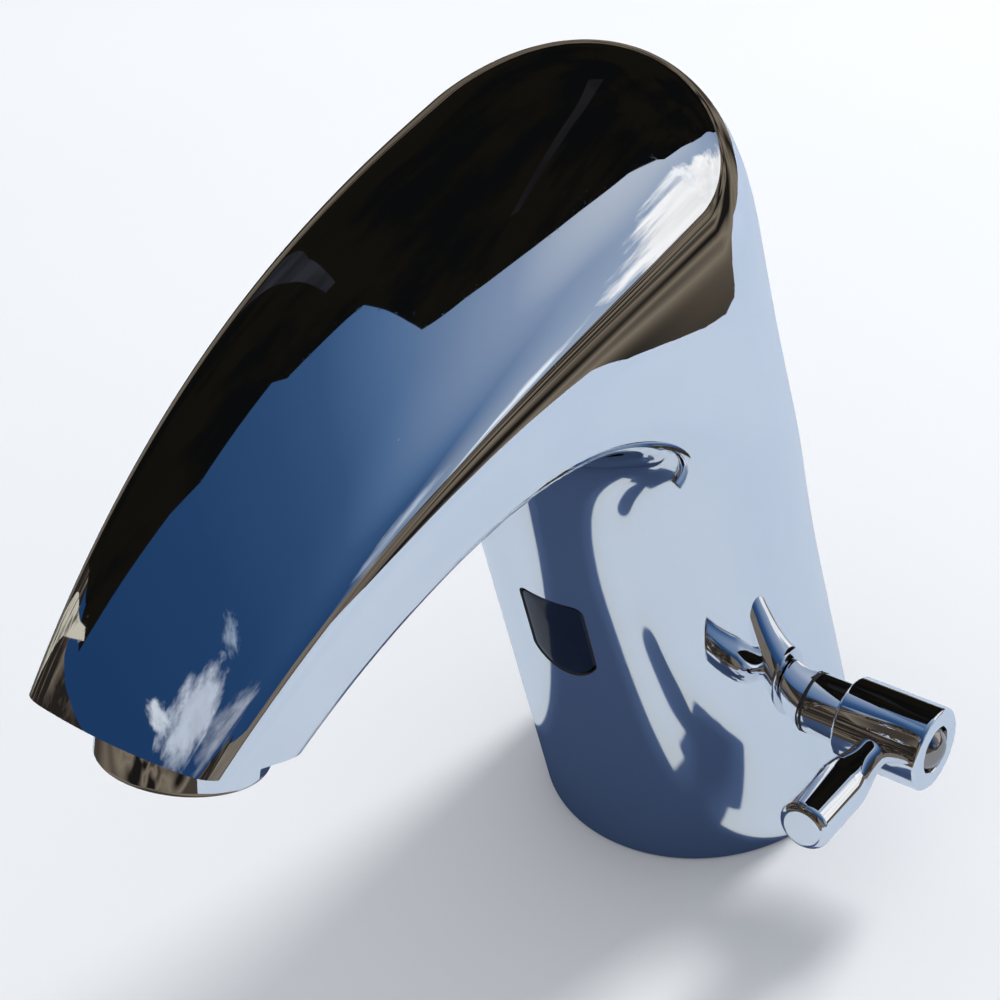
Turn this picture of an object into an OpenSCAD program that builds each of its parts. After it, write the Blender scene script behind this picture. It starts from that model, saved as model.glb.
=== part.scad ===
// Sensor tap: a leaning round column that runs into a tongue-shaped spout, with a sensor window
// in front and a small mixing lever on the right. Millimetres, +Z up, the spout points to -Y.

/* [Column] */
// Diameter of the column where it stands on the basin
base_d = 54; // [52:1:60]
// Diameter that the column tapers to at the height of the top
top_d = 48.9; // [47:0.5:52]
// Height at which the column has its upper diameter
body_h = 136; // [132:1:142]
// Forward lean of the column in degrees
lean = 9; // [7:0.5:11]
// Outward flare of the column just under the top
flare = 1.3; // [0.5:0.1:2.5]

/* [Spout] */
// Reach of the spout's side lines from the origin
reach = 120.2; // [116:1:126]
// Width of the spout at its tip
tip_w = 31; // [30.5:0.5:34]
// Height of the crest of the top surface before its edge is rounded
crest_h = 143.4; // [140:1:148]
// Distance of the crest in front of the origin
crest_y = 11.3; // [6:1:16]
// Height of the top surface at the tip
tip_h = 108.8; // [106:1:112]
// Sideways crown radius of the top at the column
root_crown_r = 51.8; // [48:1:70]
// Sideways crown radius of the top at the tip
tip_crown_r = 72.9; // [50:1:90]
// Radius of the top's fall behind the crest
back_r = 135; // [100:5:200]
// Height of the arch under the spout
arch_h = 111.6; // [109:0.1:113]
// Distance of the arch's middle in front of the origin
arch_y = 64; // [60:1:68]
// Radius of the arch along the spout
arch_r = 84; // [78:1:110]
// Downward belly of the underside between its two edges
belly = 2.5; // [1:0.5:4]
// Blend of the underside into the column
arch_blend = 24; // [18:1:28]
// Rounding of the ridge at the tip
tip_round = 1.5; // [1:0.1:2.5]
// Rounding of the shoulder at the column
shoulder_round = 9.1; // [7:0.5:12]
// Wall of the casting round the spout's hollow
spout_wall = 3.2; // [2.8:0.1:4]

/* [Outlet] */
// Distance of the outlet's centre in front of the origin
outlet_y = 107.3; // [105:0.1:109]
// Height of the outlet face at its centre
outlet_h = 102.4; // [100:0.1:104]
// Forward tilt of the outlet in degrees
outlet_tilt = 24; // [20:1:26]
// Diameter of the aerator's ring and thread
aerator_d = 22.4; // [22:0.2:24]
// How far the aerator's ring stands out of the outlet face
aerator_drop = 7; // [6:0.1:8]

/* [Lever] */
// Height of the lever's shaft
shaft_h = 25.6; // [24.5:0.1:27]
// Diameter of the hub
hub_d = 13.9; // [13:0.1:15]
// Length of the hub
hub_len = 15.3; // [14:0.1:17]
// Distance of the hub's inner face from the middle
hub_x = 32.7; // [31.5:0.1:34]
// Diameter of the collar between body and hub
collar_d = 10.1; // [9.6:0.1:11]
// Length of the lever from the shaft's axis
lever_len = 27.3; // [24:0.5:32]
// Diameter of the lever at its thick end
lever_d = 8.5; // [7.5:0.1:9.5]
// Diameter of the lever at its neck
lever_neck_d = 5.6; // [5:0.1:6.4]
// Tilt of the lever above the horizontal in degrees
lever_tilt = 7; // [0:1:12]
// Diameter of the shaft
shaft_d = 7; // [6.6:0.1:7.6]

/* [Sensor] */
// Width of the sensor window
window_w = 11.8; // [11:0.1:13]
// Height of the sensor window
window_h = 17.6; // [16:0.2:19]
// Distance of the window's middle from the deck, along the column
window_z = 58.4; // [57:0.2:60]
// Thickness of the window
window_t = 2; // [1.6:0.1:2.4]

/* [Underside] */
// Diameter of the stud's threaded hole
stud_d = 6.8; // [6:0.1:7.4]
// Diameter of the two water ports
port_d = 8.9; // [8.5:0.1:9.3]
// Diameter of the cable outlet
cable_d = 7; // [6:0.1:8]
// Thickness of the base plate
plate_t = 11; // [10:0.5:12]

/* [Hidden] */
$fn = 64;

// Overrun of every cut past the face that it leaves
over = 1;
// Running clearance of a shaft in its hole, on the radius
run_gap = 0.05;
// Clearance between pieces that only lie beside each other
gap = 0.2;
// Clearance of the cartridge's turning pieces in its chamber, on the radius
disc_gap = 0.3;

// The body's surface
base_r = base_d / 2;
top_r = top_d / 2;
flare_start_share = 0.66;
root_share = 1.04;
plan_curve = 1.67;
top_curve = 2.59;
top_line_share = 0.24;
round_curve = 1.37;
round_end_share = 0.17;
top_slope_share = 0.3;
under_slope_share = 0.9;
under_round = 1.4;
soft_share = 0.15;

// Section planes of the body: level ones up to the pivot, then a fan round it
pivot_reach = 48;
pivot_y = -outlet_y + cos(outlet_tilt) * pivot_reach;
pivot_z = outlet_h - sin(outlet_tilt) * pivot_reach;
fan_end = 180 - outlet_tilt;
spine_r = 40;
level_count = 4;
fan_count = 32;
ray_counts = [5, 9, 9];
free_ridge = 115;
free_edge = 50;
ridge_from = 45;
edge_from = 65;
search_r = 110;
search_steps = 18;

function clamp(v) = min(1, max(0, v));
function axis_y(z) = -tan(lean) * z;
function flare_at(z) = flare * pow(max(0, z / body_h - flare_start_share) / (1 - flare_start_share), 2);
function column_r(z) = base_r - (base_r - top_r) * z / body_h + flare_at(z);

// Zero below -c, v above c, and a smooth change between them
function ramp(v, c) =
    v > c ? v : let (t = max(0, (v + c) / (2 * c))) c * pow(t, 3) * (2 - t);

// Half width of the body at y
function half_w(y, z) =
    let (v = min(1, (axis_y(z) - y) / (axis_y(z) + reach)))
    tip_w / 2 + (root_share * column_r(z) - tip_w / 2) * (1 - pow(ramp(v, soft_share), plan_curve));

// Height of the top in its middle line, and anywhere
function top_mid(y) =
    let (u = ramp((-crest_y - y) / (reach - crest_y), soft_share), b = max(0, y + crest_y))
    crest_h - (crest_h - tip_h) * (top_line_share * u + (1 - top_line_share) * pow(u, top_curve))
    - b * b / (2 * back_r);
function crown_r(y) = root_crown_r + (tip_crown_r - root_crown_r) * ramp(-y / reach, soft_share);
function top_z(x, y) = top_mid(y) - x * x / (2 * crown_r(y));

// Height of the underside
function under_z(x, y, z) =
    let (u = y + arch_y, e = min(1, x / half_w(y, z)))
    arch_h - u * u / (2 * arch_r) - belly * (1 - e * e);

// Largest of two values with a soft change over k, and the least
function soft_max(a, b, k) =
    let (w = 1.5 * k, h = max(w - abs(a - b), 0) / w)
    max(a, b) + w * pow(h, 3) / 6;
function soft_min(a, b, k) = -soft_max(-a, -b, k);

// Distance outside the body's surface, less than zero inside; x is never negative
function outside(x, y, z) =
    let (
        a = axis_y(z),
        r = column_r(z),
        column = norm([x, y - a]) - r,
        side = 1 - pow(clamp((y - a) / r), 2),
        plan = y < a ? x - half_w(y, z) : column - (half_w(y, z) - r) * side * side,
        top = (z - top_z(x, y)) / sqrt(1 + top_slope_share * clamp(-y / reach)),
        low = soft_min((under_z(x, y, z) - z) * under_slope_share, column, arch_blend),
        t = 1 - ramp(1 - max(0, (y + reach) / (reach * (1 - round_end_share))), soft_share),
        blend = 2 * (tip_round + (shoulder_round - tip_round) * pow(t, round_curve))
    )
    soft_max(soft_max(plan, low, 2 * under_round), top, blend);

// A section plane is [origin y, origin z, direction y, direction z]; r runs along the direction
function level_plane(z) = [pivot_y, z, 1, 0];
function fan_plane(a) = [pivot_y, pivot_z, cos(a), sin(a)];
function at(s, x, r) = [x, s[0] + r * s[2], s[1] + r * s[3]];
function gap_at(s, x, r) = let (p = at(s, x, r)) outside(p[0], p[1], p[2]);

// Halving searches: where the surface lies between an inner and an outer point
function edge_r(s, lo, hi, wall, n) =
    let (m = (lo + hi) / 2)
    n == 0 ? m
    : gap_at(s, 0, m) + wall < 0 ? edge_r(s, m, hi, wall, n - 1) : edge_r(s, lo, m, wall, n - 1);
function ray_r(s, c, d, lo, hi, wall, n) =
    let (m = (lo + hi) / 2)
    n == 0 ? m
    : gap_at(s, m * d[0], c + m * d[1]) + wall < 0 ? ray_r(s, c, d, m, hi, wall, n - 1)
    : ray_r(s, c, d, lo, m, wall, n - 1);
function side_gap(s, r, low) =
    let (p = at(s, 0, r), w = half_w(p[1], p[2]))
    low ? under_z(w, p[1], p[2]) - p[2] : p[2] - top_z(w, p[1]);
function side_r(s, lo, hi, low, n) =
    let (m = (lo + hi) / 2)
    n == 0 ? m
    : (side_gap(s, m, low) > 0) == low ? side_r(s, m, hi, low, n - 1) : side_r(s, lo, m, low, n - 1);
function side_angle(s, c, r) =
    let (p = at(s, 0, r))
    atan2(half_w(p[1], p[2]), c - r);

// Angles of the rays of one section, crowded towards the lower edge and the ridge
function crowd(i, n, from, to, a, b) =
    let (u = i / n)
    from + (to - from) * (a && b ? (1 - cos(180 * u)) / 2 : a ? 1 - cos(90 * u) : sin(90 * u));
function ray_angles(low, ridge, counts) = concat(
    [for (i = [0 : counts[0] - 1]) crowd(i, counts[0], 0, low, false, true)],
    [for (i = [0 : counts[1] - 1]) crowd(i, counts[1], low, ridge, true, true)],
    [for (i = [0 : counts[2]]) crowd(i, counts[2], ridge, 180, true, false)]
);

// One closed ring of points round the body in a section plane
function ring(s, angle, wall, counts) =
    let (
        inner = edge_r(s, spine_r, 0, wall, search_steps),
        outer = edge_r(s, spine_r, search_r, wall, search_steps),
        c = (inner + outer) / 2,
        ridge = angle > ridge_from
            ? min(free_ridge, side_angle(s, c, side_r(s, c, search_r, false, search_steps)))
            : free_ridge,
        low = angle > edge_from
            ? max(free_edge / 2, min(free_edge, side_angle(s, c, side_r(s, 0, c, true, search_steps))))
            : free_edge,
        half = [for (t = ray_angles(low, ridge, counts))
            let (d = [sin(t), -cos(t)], r = ray_r(s, c, d, 0, search_r, wall, search_steps))
            at(s, r * d[0], c + r * d[1])]
    )
    concat(half, [for (i = [len(half) - 2 : -1 : 1]) [-half[i][0], half[i][1], half[i][2]]]);

// A closed solid through rings of points
module loft(rings) {
    n = len(rings[0]);
    last = len(rings) - 1;
    polyhedron(
        points = [for (r = rings) each r],
        faces = concat(
            [for (i = [0 : last - 1], j = [0 : n - 1], k = [0, 1])
                let (a = i * n + j, b = i * n + (j + 1) % n)
                k == 0 ? [b, a, b + n] : [b + n, a, a + n]],
            [[for (j = [0 : n - 1]) j]],
            [[for (j = [n - 1 : -1 : 0]) last * n + j]]
        )
    );
}

module body_skin() {
    loft(concat(
        [for (i = [0 : level_count - 1])
            ring(level_plane(i * pivot_z / level_count), 0, 0, ray_counts)],
        [for (i = [0 : fan_count])
            let (a = i * fan_end / fan_count)
            ring(fan_plane(a), a, 0, ray_counts)]
    ));
}

// The hollow of the spout, from the top of the column to behind the outlet
hollow_from = 24;
hollow_to_share = 0.94;
hollow_count = 12;
hollow_rays = [2, 3, 4];
module spout_hollow() {
    loft([for (i = [0 : hollow_count])
        let (a = hollow_from + i * (fan_end * hollow_to_share - hollow_from) / hollow_count)
        ring(fan_plane(a), a, spout_wall, hollow_rays)]);
}

// Frames: the column leans, the outlet is tilted
module leaned() {
    rotate([lean, 0, 0]) children();
}
module at_outlet() {
    translate([0, -outlet_y, outlet_h]) rotate([-outlet_tilt, 0, 0]) children();
}
module along_x(x = 0) {
    translate([x, shaft_y, shaft_h]) rotate([0, 90, 0]) children();
}
module ring_of(r_in, r_out, h) {
    difference() {
        cylinder(r = r_out, h = h);
        translate([0, 0, -over]) cylinder(r = r_in, h = h + 2 * over);
    }
}

shaft_y = axis_y(shaft_h);
shaft_r = shaft_d / 2;
collar_r = collar_d / 2;
hub_r = hub_d / 2;

// The column's hollow: an upright well for the base plate, then a leaning bore
plate_z = 2;
plate_y = axis_y(plate_z + plate_t / 2);
well_wall = 4.6;
well_r = base_r - well_wall;
ledge_w = 1.6;
bore_wall = 3.2;
bore_bottom_r = well_r - ledge_w;
bore_top_r = top_r - bore_wall;
bore_share = 0.87;
bore_h = body_h * bore_share;
well_top = plate_z + plate_t;

// The base plate's holes, measured from the origin
port_x = 10;
port_r = port_d / 2;
port_depth = plate_t - 2;
passage_r = 3.4;
stud_y = -12;
cable_y = 9;
lug_inset = 3.8;
lug_circle_r = well_r - lug_inset;
lug_l = 10.3;
lug_w = 7;
lug_h = 6;
lug_hold = 4.4;
lug_angles = [90, 270];
screw_r = 1.25;
screw_clear_r = 1.6;
screw_head_r = 2.7;
screw_head_h = 2.6;
screw_len = 12;
block_screw_x = 3.5;
block_screw_y = 1.5;
gasket_w = 1.6;
gasket_inset = 1;
gasket_out_r = base_r - gasket_inset;
gasket_in_r = gasket_out_r - gasket_w;
gasket_h = 1.4;
seal_h = 1.8;
seal_w = 1.3;

module at_lugs() {
    for (a = lug_angles)
        translate([0, plate_y, 0]) rotate(a) translate([lug_circle_r, 0, 0]) children();
}
module at_block_screws() {
    for (s = [-1, 1]) translate([s * block_screw_x, block_screw_y, 0]) children();
}
module at_ports() {
    for (s = [-1, 1]) translate([s * port_x, shaft_y, 0]) children();
}

// The window's outline, drawn in the leaning frame with its middle at the origin
window_corner_r = 1.2;
window_low_r = 7.6;
window_low_corner_r = 1.6;
window_back = 30;
rim_w = 0.4;
window_sink = 0.1;
function arc(c, r, from, to, n) =
    [for (i = [0 : n]) let (a = from + (to - from) * i / n) c + r * [cos(a), sin(a)]];
function window_outline(inset) =
    let (
        w = window_w / 2 - inset,
        h = window_h / 2 - inset,
        rc = window_corner_r,
        rl = window_low_corner_r,
        big = window_low_r - inset,
        cy = -h + big,
        // Centre of the small low corner arc, which touches the side and the big low arc
        cx = w - rl,
        drop = sqrt(pow(big - rl, 2) - cx * cx),
        turn = atan2(-drop, cx)
    )
    concat(
        arc([w - rc, h - rc], rc, 0, 90, 6),
        arc([-w + rc, h - rc], rc, 90, 180, 6),
        arc([-cx, cy - drop], rl, 180, 180 - turn, 6),
        arc([0, cy], big, 180 - turn, 360 + turn, 14),
        arc([cx, cy - drop], rl, turn, 0, 6)
    );
module window_prism(inset, back) {
    translate([0, -back, window_z]) rotate([90, 0, 0])
        linear_extrude(height = window_back - back) polygon(window_outline(inset));
}

// Radius of the column's front about its leaning axis, and a cone through it
slope_share = (base_r - top_r) / body_h;
function front_r(z) =
    cos(lean) * (base_r - slope_share * cos(lean) * z) / (1 - slope_share * sin(lean) * cos(lean));
module front_cone(inset) {
    lo = window_z - window_h;
    hi = window_z + window_h;
    translate([0, 0, lo])
        cylinder(r1 = front_r(lo) - inset, r2 = front_r(hi) - inset, h = hi - lo, $fn = 96);
}

// Lugs inside the column that hold the sensor's bracket
sensor_lug_x = 12.4;
sensor_lug_r = 2.8;
sensor_sink = 18;
sensor_lug_l = 10;
sensor_lug_y = sensor_sink - base_r;
sensor_lug_back_y = sensor_lug_y - sensor_lug_l;
sensor_screw_len = 6;
module at_sensor_lugs() {
    for (s = [-1, 1])
        translate([s * sensor_lug_x, sensor_lug_y, window_z]) rotate([90, 0, 0]) children();
}

// The outlet's threaded seat
thread_r = aerator_d / 2 - 1.1;
thread_depth = 5.4;
adapter_r = 7.9;
adapter_top = 9;

module column_hollow() {
    difference() {
        union() {
            translate([0, plate_y, -over]) cylinder(r = well_r, h = well_top + over);
            intersection() {
                leaned() cylinder(r1 = bore_bottom_r, r2 = bore_top_r, h = bore_h);
                translate([-body_h, -body_h, well_top - over]) cube(2 * body_h);
            }
        }
        at_lugs() translate([-lug_hold, -lug_w / 2, well_top]) cube([lug_l, lug_w, lug_h]);
        leaned() at_sensor_lugs()
            cylinder(r = sensor_lug_r, h = sensor_lug_y - sensor_lug_back_y, $fn = 32);
    }
}

module body_casting() {
    color("silver") difference() {
        body_skin();
        column_hollow();
        spout_hollow();
        translate([0, 0, -over]) ring_of(gasket_in_r, gasket_out_r, gasket_h + over);
        at_lugs() translate([0, 0, well_top - over])
            cylinder(r = screw_r, h = screw_len - plate_t + screw_head_h + over, $fn = 32);
        leaned() at_sensor_lugs() translate([0, 0, -over])
            cylinder(r = screw_r, h = sensor_screw_len + over, $fn = 32);
        along_x() cylinder(r = collar_r, h = base_d);
        along_x(base_r - collar_seal_sink) cylinder(r = collar_seal_r, h = base_d);
        leaned() window_prism(0, -sensor_lug_y);
        at_outlet() translate([0, 0, -over]) cylinder(r = thread_r, h = thread_depth + over);
        at_outlet() cylinder(r = adapter_r, h = adapter_top);
        bar(ball, ball + pipe_hold * ball_dir, adapter_ball_r + gap);
    }
}

module base_gasket() {
    color("dimgray") ring_of(gasket_in_r, gasket_out_r, gasket_h);
}

module base_plate() {
    color("goldenrod") difference() {
        translate([0, plate_y, plate_z]) difference() {
            cylinder(r = well_r - run_gap, h = plate_t);
            translate([0, 0, (plate_t - seal_h) / 2]) ring_of(well_r - seal_w, base_r, seal_h);
        }
        at_ports() translate([0, 0, plate_z - over]) cylinder(r = port_r, h = port_depth + over);
        at_ports() cylinder(r = strainer_r, h = plate_z + port_depth + strainer_h);
        at_ports() cylinder(r = passage_r, h = well_top + over);
        translate([0, stud_y, 0]) cylinder(r = stud_d / 2, h = well_top + over);
        translate([0, cable_y, 0]) cylinder(r = cable_d / 2, h = well_top + over);
        at_lugs() cylinder(r = screw_clear_r, h = well_top + over, $fn = 32);
        at_lugs() cylinder(r = screw_head_r + gap, h = plate_z + screw_head_h, $fn = 32);
        at_block_screws() cylinder(r = screw_clear_r, h = well_top + over, $fn = 32);
        at_block_screws() cylinder(r = screw_head_r + gap, h = plate_z + screw_head_h, $fn = 32);
    }
}

module base_plate_seal() {
    color("black") translate([0, plate_y, plate_z + (plate_t - seal_h) / 2])
        ring_of(well_r - seal_w, well_r, seal_h);
}

// A cap screw that stands on its head, with a hexagon socket
module cap_screw(len, r = screw_r, head_r = screw_head_r, head_h = screw_head_h) {
    difference() {
        union() {
            cylinder(r = head_r, h = head_h, $fn = 32);
            cylinder(r = r, h = head_h + len, $fn = 32);
        }
        translate([0, 0, -over]) cylinder(r = head_r / 2, h = head_h / 2 + over, $fn = 6);
    }
}

module base_screws() {
    color("lightgray") at_lugs() translate([0, 0, plate_z]) cap_screw(screw_len - gap);
}

module block_screws() {
    color("lightgray") at_block_screws() translate([0, 0, plate_z])
        cap_screw(plate_t - screw_head_h + foot_h / 2);
}

strainer_r = 4;
strainer_h = 0.8;
strainer_hole_r = 0.55;
module port_strainers() {
    color("darkgray") at_ports() translate([0, 0, plate_z + port_depth]) difference() {
        cylinder(r = strainer_r, h = strainer_h);
        for (a = [0 : 60 : 300])
            rotate(a) translate([strainer_r / 2, 0, -over])
                cylinder(r = strainer_hole_r, h = strainer_h + 2 * over, $fn = 16);
    }
}

// The mixing block lies along X, round the cartridge
block_r = 10.5;
block_left_x = -16;
block_right_x = 16.8;
cartridge_r = 8.3;
cartridge_left_x = -12;
foot_h = 8;
foot_x = 15;
foot_front = 8;
spigot_y = 4;
spigot_r = 3.6;
spigot_bore_r = 2.6;
spigot_top = 42;
module mixing_block() {
    color("goldenrod") difference() {
        union() {
            along_x(block_left_x) cylinder(r = block_r, h = block_right_x - block_left_x);
            translate([-foot_x, shaft_y - foot_front, well_top]) cube([2 * foot_x, 2 * foot_front, foot_h]);
            leaned() translate([0, spigot_y, shaft_h]) cylinder(r = spigot_r, h = spigot_top - shaft_h);
        }
        along_x(cartridge_left_x) cylinder(r = cartridge_r, h = base_d);
        at_ports() translate([0, 0, well_top - over]) cylinder(r = passage_r, h = foot_h);
        at_block_screws() cylinder(r = screw_r, h = well_top + foot_h / 2, $fn = 32);
        leaned() translate([0, spigot_y, shaft_h]) cylinder(r = spigot_bore_r, h = spigot_top);
        at_lugs() translate([-lug_hold - gap, -lug_w / 2 - gap, well_top - over])
            cube([base_d, lug_w + 2 * gap, lug_h + over + gap]);
    }
}

// Each check valve is a cup with a stem in it, between the plate's passage and the block's
check_h = 3.8;
check_sink = 1;
check_floor = 1;
check_wall = 0.9;
check_stem_r = 1.1;
check_hole_r = 0.5;
module check_valves() {
    color("ivory") at_ports() translate([0, 0, well_top - check_sink]) difference() {
        cylinder(r = passage_r, h = check_h);
        translate([0, 0, check_floor]) ring_of(check_stem_r, passage_r - check_wall, check_h);
        for (a = [0 : 90 : 270])
            rotate(a) translate([(check_stem_r + passage_r - check_wall) / 2, 0, -over])
                cylinder(r = check_hole_r, h = check_floor + 2 * over, $fn = 16);
    }
}

// The cartridge: a housing with two ceramic discs, the spindle with its seals, and a nut
cartridge_end_x = 11.8;
chamber_r = 6.5;
chamber_left_x = -9.9;
chamber_right_x = 3;
disc_t = 2.5;
moving_disc_t = 2.2;
ring_x = [5, 8];
ring_w = 1.8;
ring_r = 5;
module cartridge_housing() {
    color("white") difference() {
        along_x(cartridge_left_x) cylinder(r = cartridge_r, h = cartridge_end_x - cartridge_left_x);
        along_x(chamber_left_x) cylinder(r = chamber_r, h = chamber_right_x - chamber_left_x);
        along_x() cylinder(r = shaft_r + run_gap, h = base_d);
        for (x = ring_x) along_x(x) cylinder(r = ring_r, h = ring_w);
    }
}

module ceramic_fixed_disc() {
    color("whitesmoke") along_x(chamber_left_x) difference() {
        cylinder(r = chamber_r, h = disc_t);
        for (s = [-1, 1]) translate([0, s * chamber_r / 2, -over])
            cylinder(r = chamber_r / 4, h = disc_t + 2 * over, $fn = 32);
    }
}

moving_x = chamber_left_x + disc_t;
flange_x = moving_x + moving_disc_t;
module ceramic_moving_disc() {
    color("gainsboro") along_x(moving_x) difference() {
        cylinder(r = chamber_r - disc_gap, h = moving_disc_t);
        translate([0, chamber_r / 2, -over])
            cylinder(r = chamber_r / 4, h = moving_disc_t + 2 * over, $fn = 32);
    }
}

nut_web = 2;
module cartridge_nut() {
    color("goldenrod") along_x(cartridge_end_x) difference() {
        cylinder(r = cartridge_r, h = block_right_x - cartridge_end_x);
        translate([0, 0, -over]) cylinder(r = shaft_r + 2 * run_gap, h = base_d);
        translate([0, 0, nut_web]) cylinder(r = collar_r + nut_web, h = base_d, $fn = 6);
    }
}

module spindle_seals() {
    color("black") for (x = ring_x) along_x(x) ring_of(shaft_r + 2 * run_gap, ring_r, ring_w);
}

socket_depth = 5;
flange_t = 1.8;
hub_screw_r = 1.6;
hub_screw_depth = 4;
spindle_end_x = hub_x + socket_depth;
module spindle() {
    color("lightgray") difference() {
        union() {
            along_x(flange_x) cylinder(r = chamber_r - 2 * disc_gap, h = flange_t);
            along_x(flange_x) cylinder(r = shaft_r, h = spindle_end_x - flange_x);
        }
        along_x(spindle_end_x - hub_screw_depth) cylinder(r = hub_screw_r, h = base_d, $fn = 32);
    }
}

collar_end_x = hub_x - gap;
module stem_collar() {
    color("silver") along_x(cartridge_end_x + nut_web)
        ring_of(shaft_r + run_gap, collar_r, collar_end_x - cartridge_end_x - nut_web);
}

collar_seal_r = 5.75;
collar_seal_sink = 1.2;
collar_seal_h = 0.9;
module collar_seal() {
    color("black") along_x(base_r - collar_seal_sink)
        ring_of(collar_r, collar_seal_r, collar_seal_h);
}

// The hub on the spindle, its screw and cap, and the lever
hub_edge_r = 0.7;
cap_r = 3.85;
cap_depth = 1.8;
cap_rise = 0.9;
hub_screw_head_r = 2.9;
hub_screw_head_h = 2.4;
lever_from_hub = 7.1;
lever_x = hub_x + lever_from_hub;
pin_r = 2.1;
pin_depth = 3;
module handle_hub() {
    color("silver") difference() {
        along_x(hub_x) rotate_extrude() polygon(concat(
            [[0, 0]],
            arc([hub_r - hub_edge_r, hub_edge_r], hub_edge_r, -90, 0, 6),
            arc([hub_r - hub_edge_r, hub_len - hub_edge_r], hub_edge_r, 0, 90, 6),
            [[0, hub_len]]
        ));
        along_x(hub_x - over) cylinder(r = shaft_r, h = socket_depth + over);
        along_x(hub_x) cylinder(r = hub_screw_r, h = hub_len, $fn = 32);
        along_x(hub_x + hub_len - cap_depth - hub_screw_head_h)
            cylinder(r = hub_screw_head_r, h = hub_len, $fn = 32);
        along_x(hub_x + hub_len - cap_depth) cylinder(r = cap_r, h = hub_len);
        at_lever() translate([0, 0, pin_depth]) cylinder(r = pin_r, h = base_d, $fn = 32);
    }
}
module at_lever() {
    translate([lever_x, shaft_y, shaft_h]) rotate([90 - lever_tilt, 0, 0]) children();
}

lever_edge_r = 1.25;
neck_from_share = 0.9;
flare_from_share = 0.26;
flare_to_share = 0.6;
flare_steps = 12;
function smooth(t) = t * t * (3 - 2 * t);
module lever_arm() {
    color("silver") difference() {
        at_lever() rotate_extrude() polygon(concat(
            [[0, pin_depth], [pin_r, pin_depth], [pin_r, hub_r * neck_from_share],
                [lever_neck_d / 2, hub_r * neck_from_share]],
            [for (i = [0 : flare_steps]) let (t = i / flare_steps) [
                lever_neck_d / 2 + (lever_d - lever_neck_d) / 2 * smooth(t),
                lever_len * (flare_from_share + (flare_to_share - flare_from_share) * t)]],
            arc([lever_d / 2 - lever_edge_r, lever_len - lever_edge_r], lever_edge_r, 0, 90, 6),
            [[0, lever_len]]
        ));
        difference() {
            along_x(hub_x) cylinder(r = hub_r, h = hub_len);
            at_lever() cylinder(r = pin_r, h = lever_len, $fn = 32);
        }
    }
}

module hub_screw() {
    color("lightgray") along_x(hub_x + hub_len - cap_depth) mirror([0, 0, 1]) cap_screw(
        hub_len - cap_depth - hub_screw_head_h - socket_depth + hub_screw_depth - gap,
        hub_screw_r, hub_screw_head_r, hub_screw_head_h);
}

module hub_cap() {
    cap_sphere_r = (cap_r * cap_r + cap_rise * cap_rise) / (2 * cap_rise);
    color("silver") along_x(hub_x + hub_len) union() {
        translate([0, 0, -cap_depth]) cylinder(r = cap_r, h = cap_depth);
        intersection() {
            translate([0, 0, cap_rise - cap_sphere_r]) sphere(r = cap_sphere_r, $fn = 96);
            cylinder(r = cap_r, h = cap_rise + over);
        }
    }
}

// The sensor behind its window, in the leaning frame
housing_w = 14;
housing_h = 20;
housing_l = 10;
snout_l = 3.7;
housing_back_y = sensor_lug_y;
housing_front_y = housing_back_y - housing_l;
snout_y = housing_front_y - snout_l;
snout_inset = 1.4;
housing_wall = 1.6;
board_t = 1.4;
eye_r = 1.5;
eye_len = 5;
eye_z = 3.2;
led_r = 0.9;
led_x = 2.6;
bracket_t = 1.2;
bracket_h = 6;
bracket_w = 30;
sensor_head_r = 2.4;
sensor_head_h = 1.6;
module sensor_window() {
    color([0.06, 0.08, 0.13]) leaned() difference() {
        intersection() {
            window_prism(rim_w, -sensor_lug_y);
            front_cone(window_sink);
        }
        front_cone(window_sink + window_t);
    }
}
module sensor_gasket() {
    color("black") leaned() difference() {
        intersection() {
            window_prism(0, -sensor_lug_y);
            front_cone(2 * window_sink);
        }
        window_prism(rim_w, 0);
        front_cone(window_sink + window_t);
    }
}
module sensor_box(w, h, from, to) {
    translate([-w / 2, from, window_z - h / 2]) cube([w, to - from, h]);
}
module sensor_housing() {
    snout_w = window_w - 2 * snout_inset;
    snout_h = window_h - 4 * snout_inset;
    color("dimgray") leaned() difference() {
        union() {
            sensor_box(housing_w, housing_h, housing_front_y, housing_back_y);
            sensor_box(snout_w, snout_h, snout_y, housing_back_y);
        }
        sensor_box(snout_w - housing_wall, snout_h - housing_wall,
            snout_y - over, housing_back_y - housing_wall);
    }
}
board_y = housing_back_y - housing_wall - board_t;
module sensor_board() {
    color("darkgreen") leaned() sensor_box(window_w - 2 * snout_inset - housing_wall,
        window_h - 4 * snout_inset - housing_wall, board_y, board_y + board_t);
}
module eye(x, z, r, len) {
    leaned() translate([x, board_y, window_z + z]) rotate([90, 0, 0]) union() {
        cylinder(r = r, h = len - r, $fn = 32);
        translate([0, 0, len - r]) sphere(r = r, $fn = 32);
    }
}
module ir_emitter() {
    color("lightsteelblue") eye(-eye_r / 2, eye_z, eye_r, eye_len);
}
module ir_receiver() {
    color("midnightblue") eye(-eye_r / 2, -eye_z, eye_r, eye_len);
}
module status_led() {
    color("red") eye(led_x, 0, led_r, eye_len / 2);
}
module sensor_bracket() {
    color("lightgray") leaned() difference() {
        sensor_box(bracket_w, bracket_h, sensor_lug_y, sensor_lug_y + bracket_t);
        at_sensor_lugs() translate([0, 0, -bracket_t - over])
            cylinder(r = screw_r, h = bracket_t + 2 * over, $fn = 32);
    }
}
module sensor_screws() {
    color("lightgray") leaned() at_sensor_lugs() translate([0, 0, -bracket_t - sensor_head_h])
        cap_screw(sensor_screw_len, screw_r, sensor_head_r, sensor_head_h);
}

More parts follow.
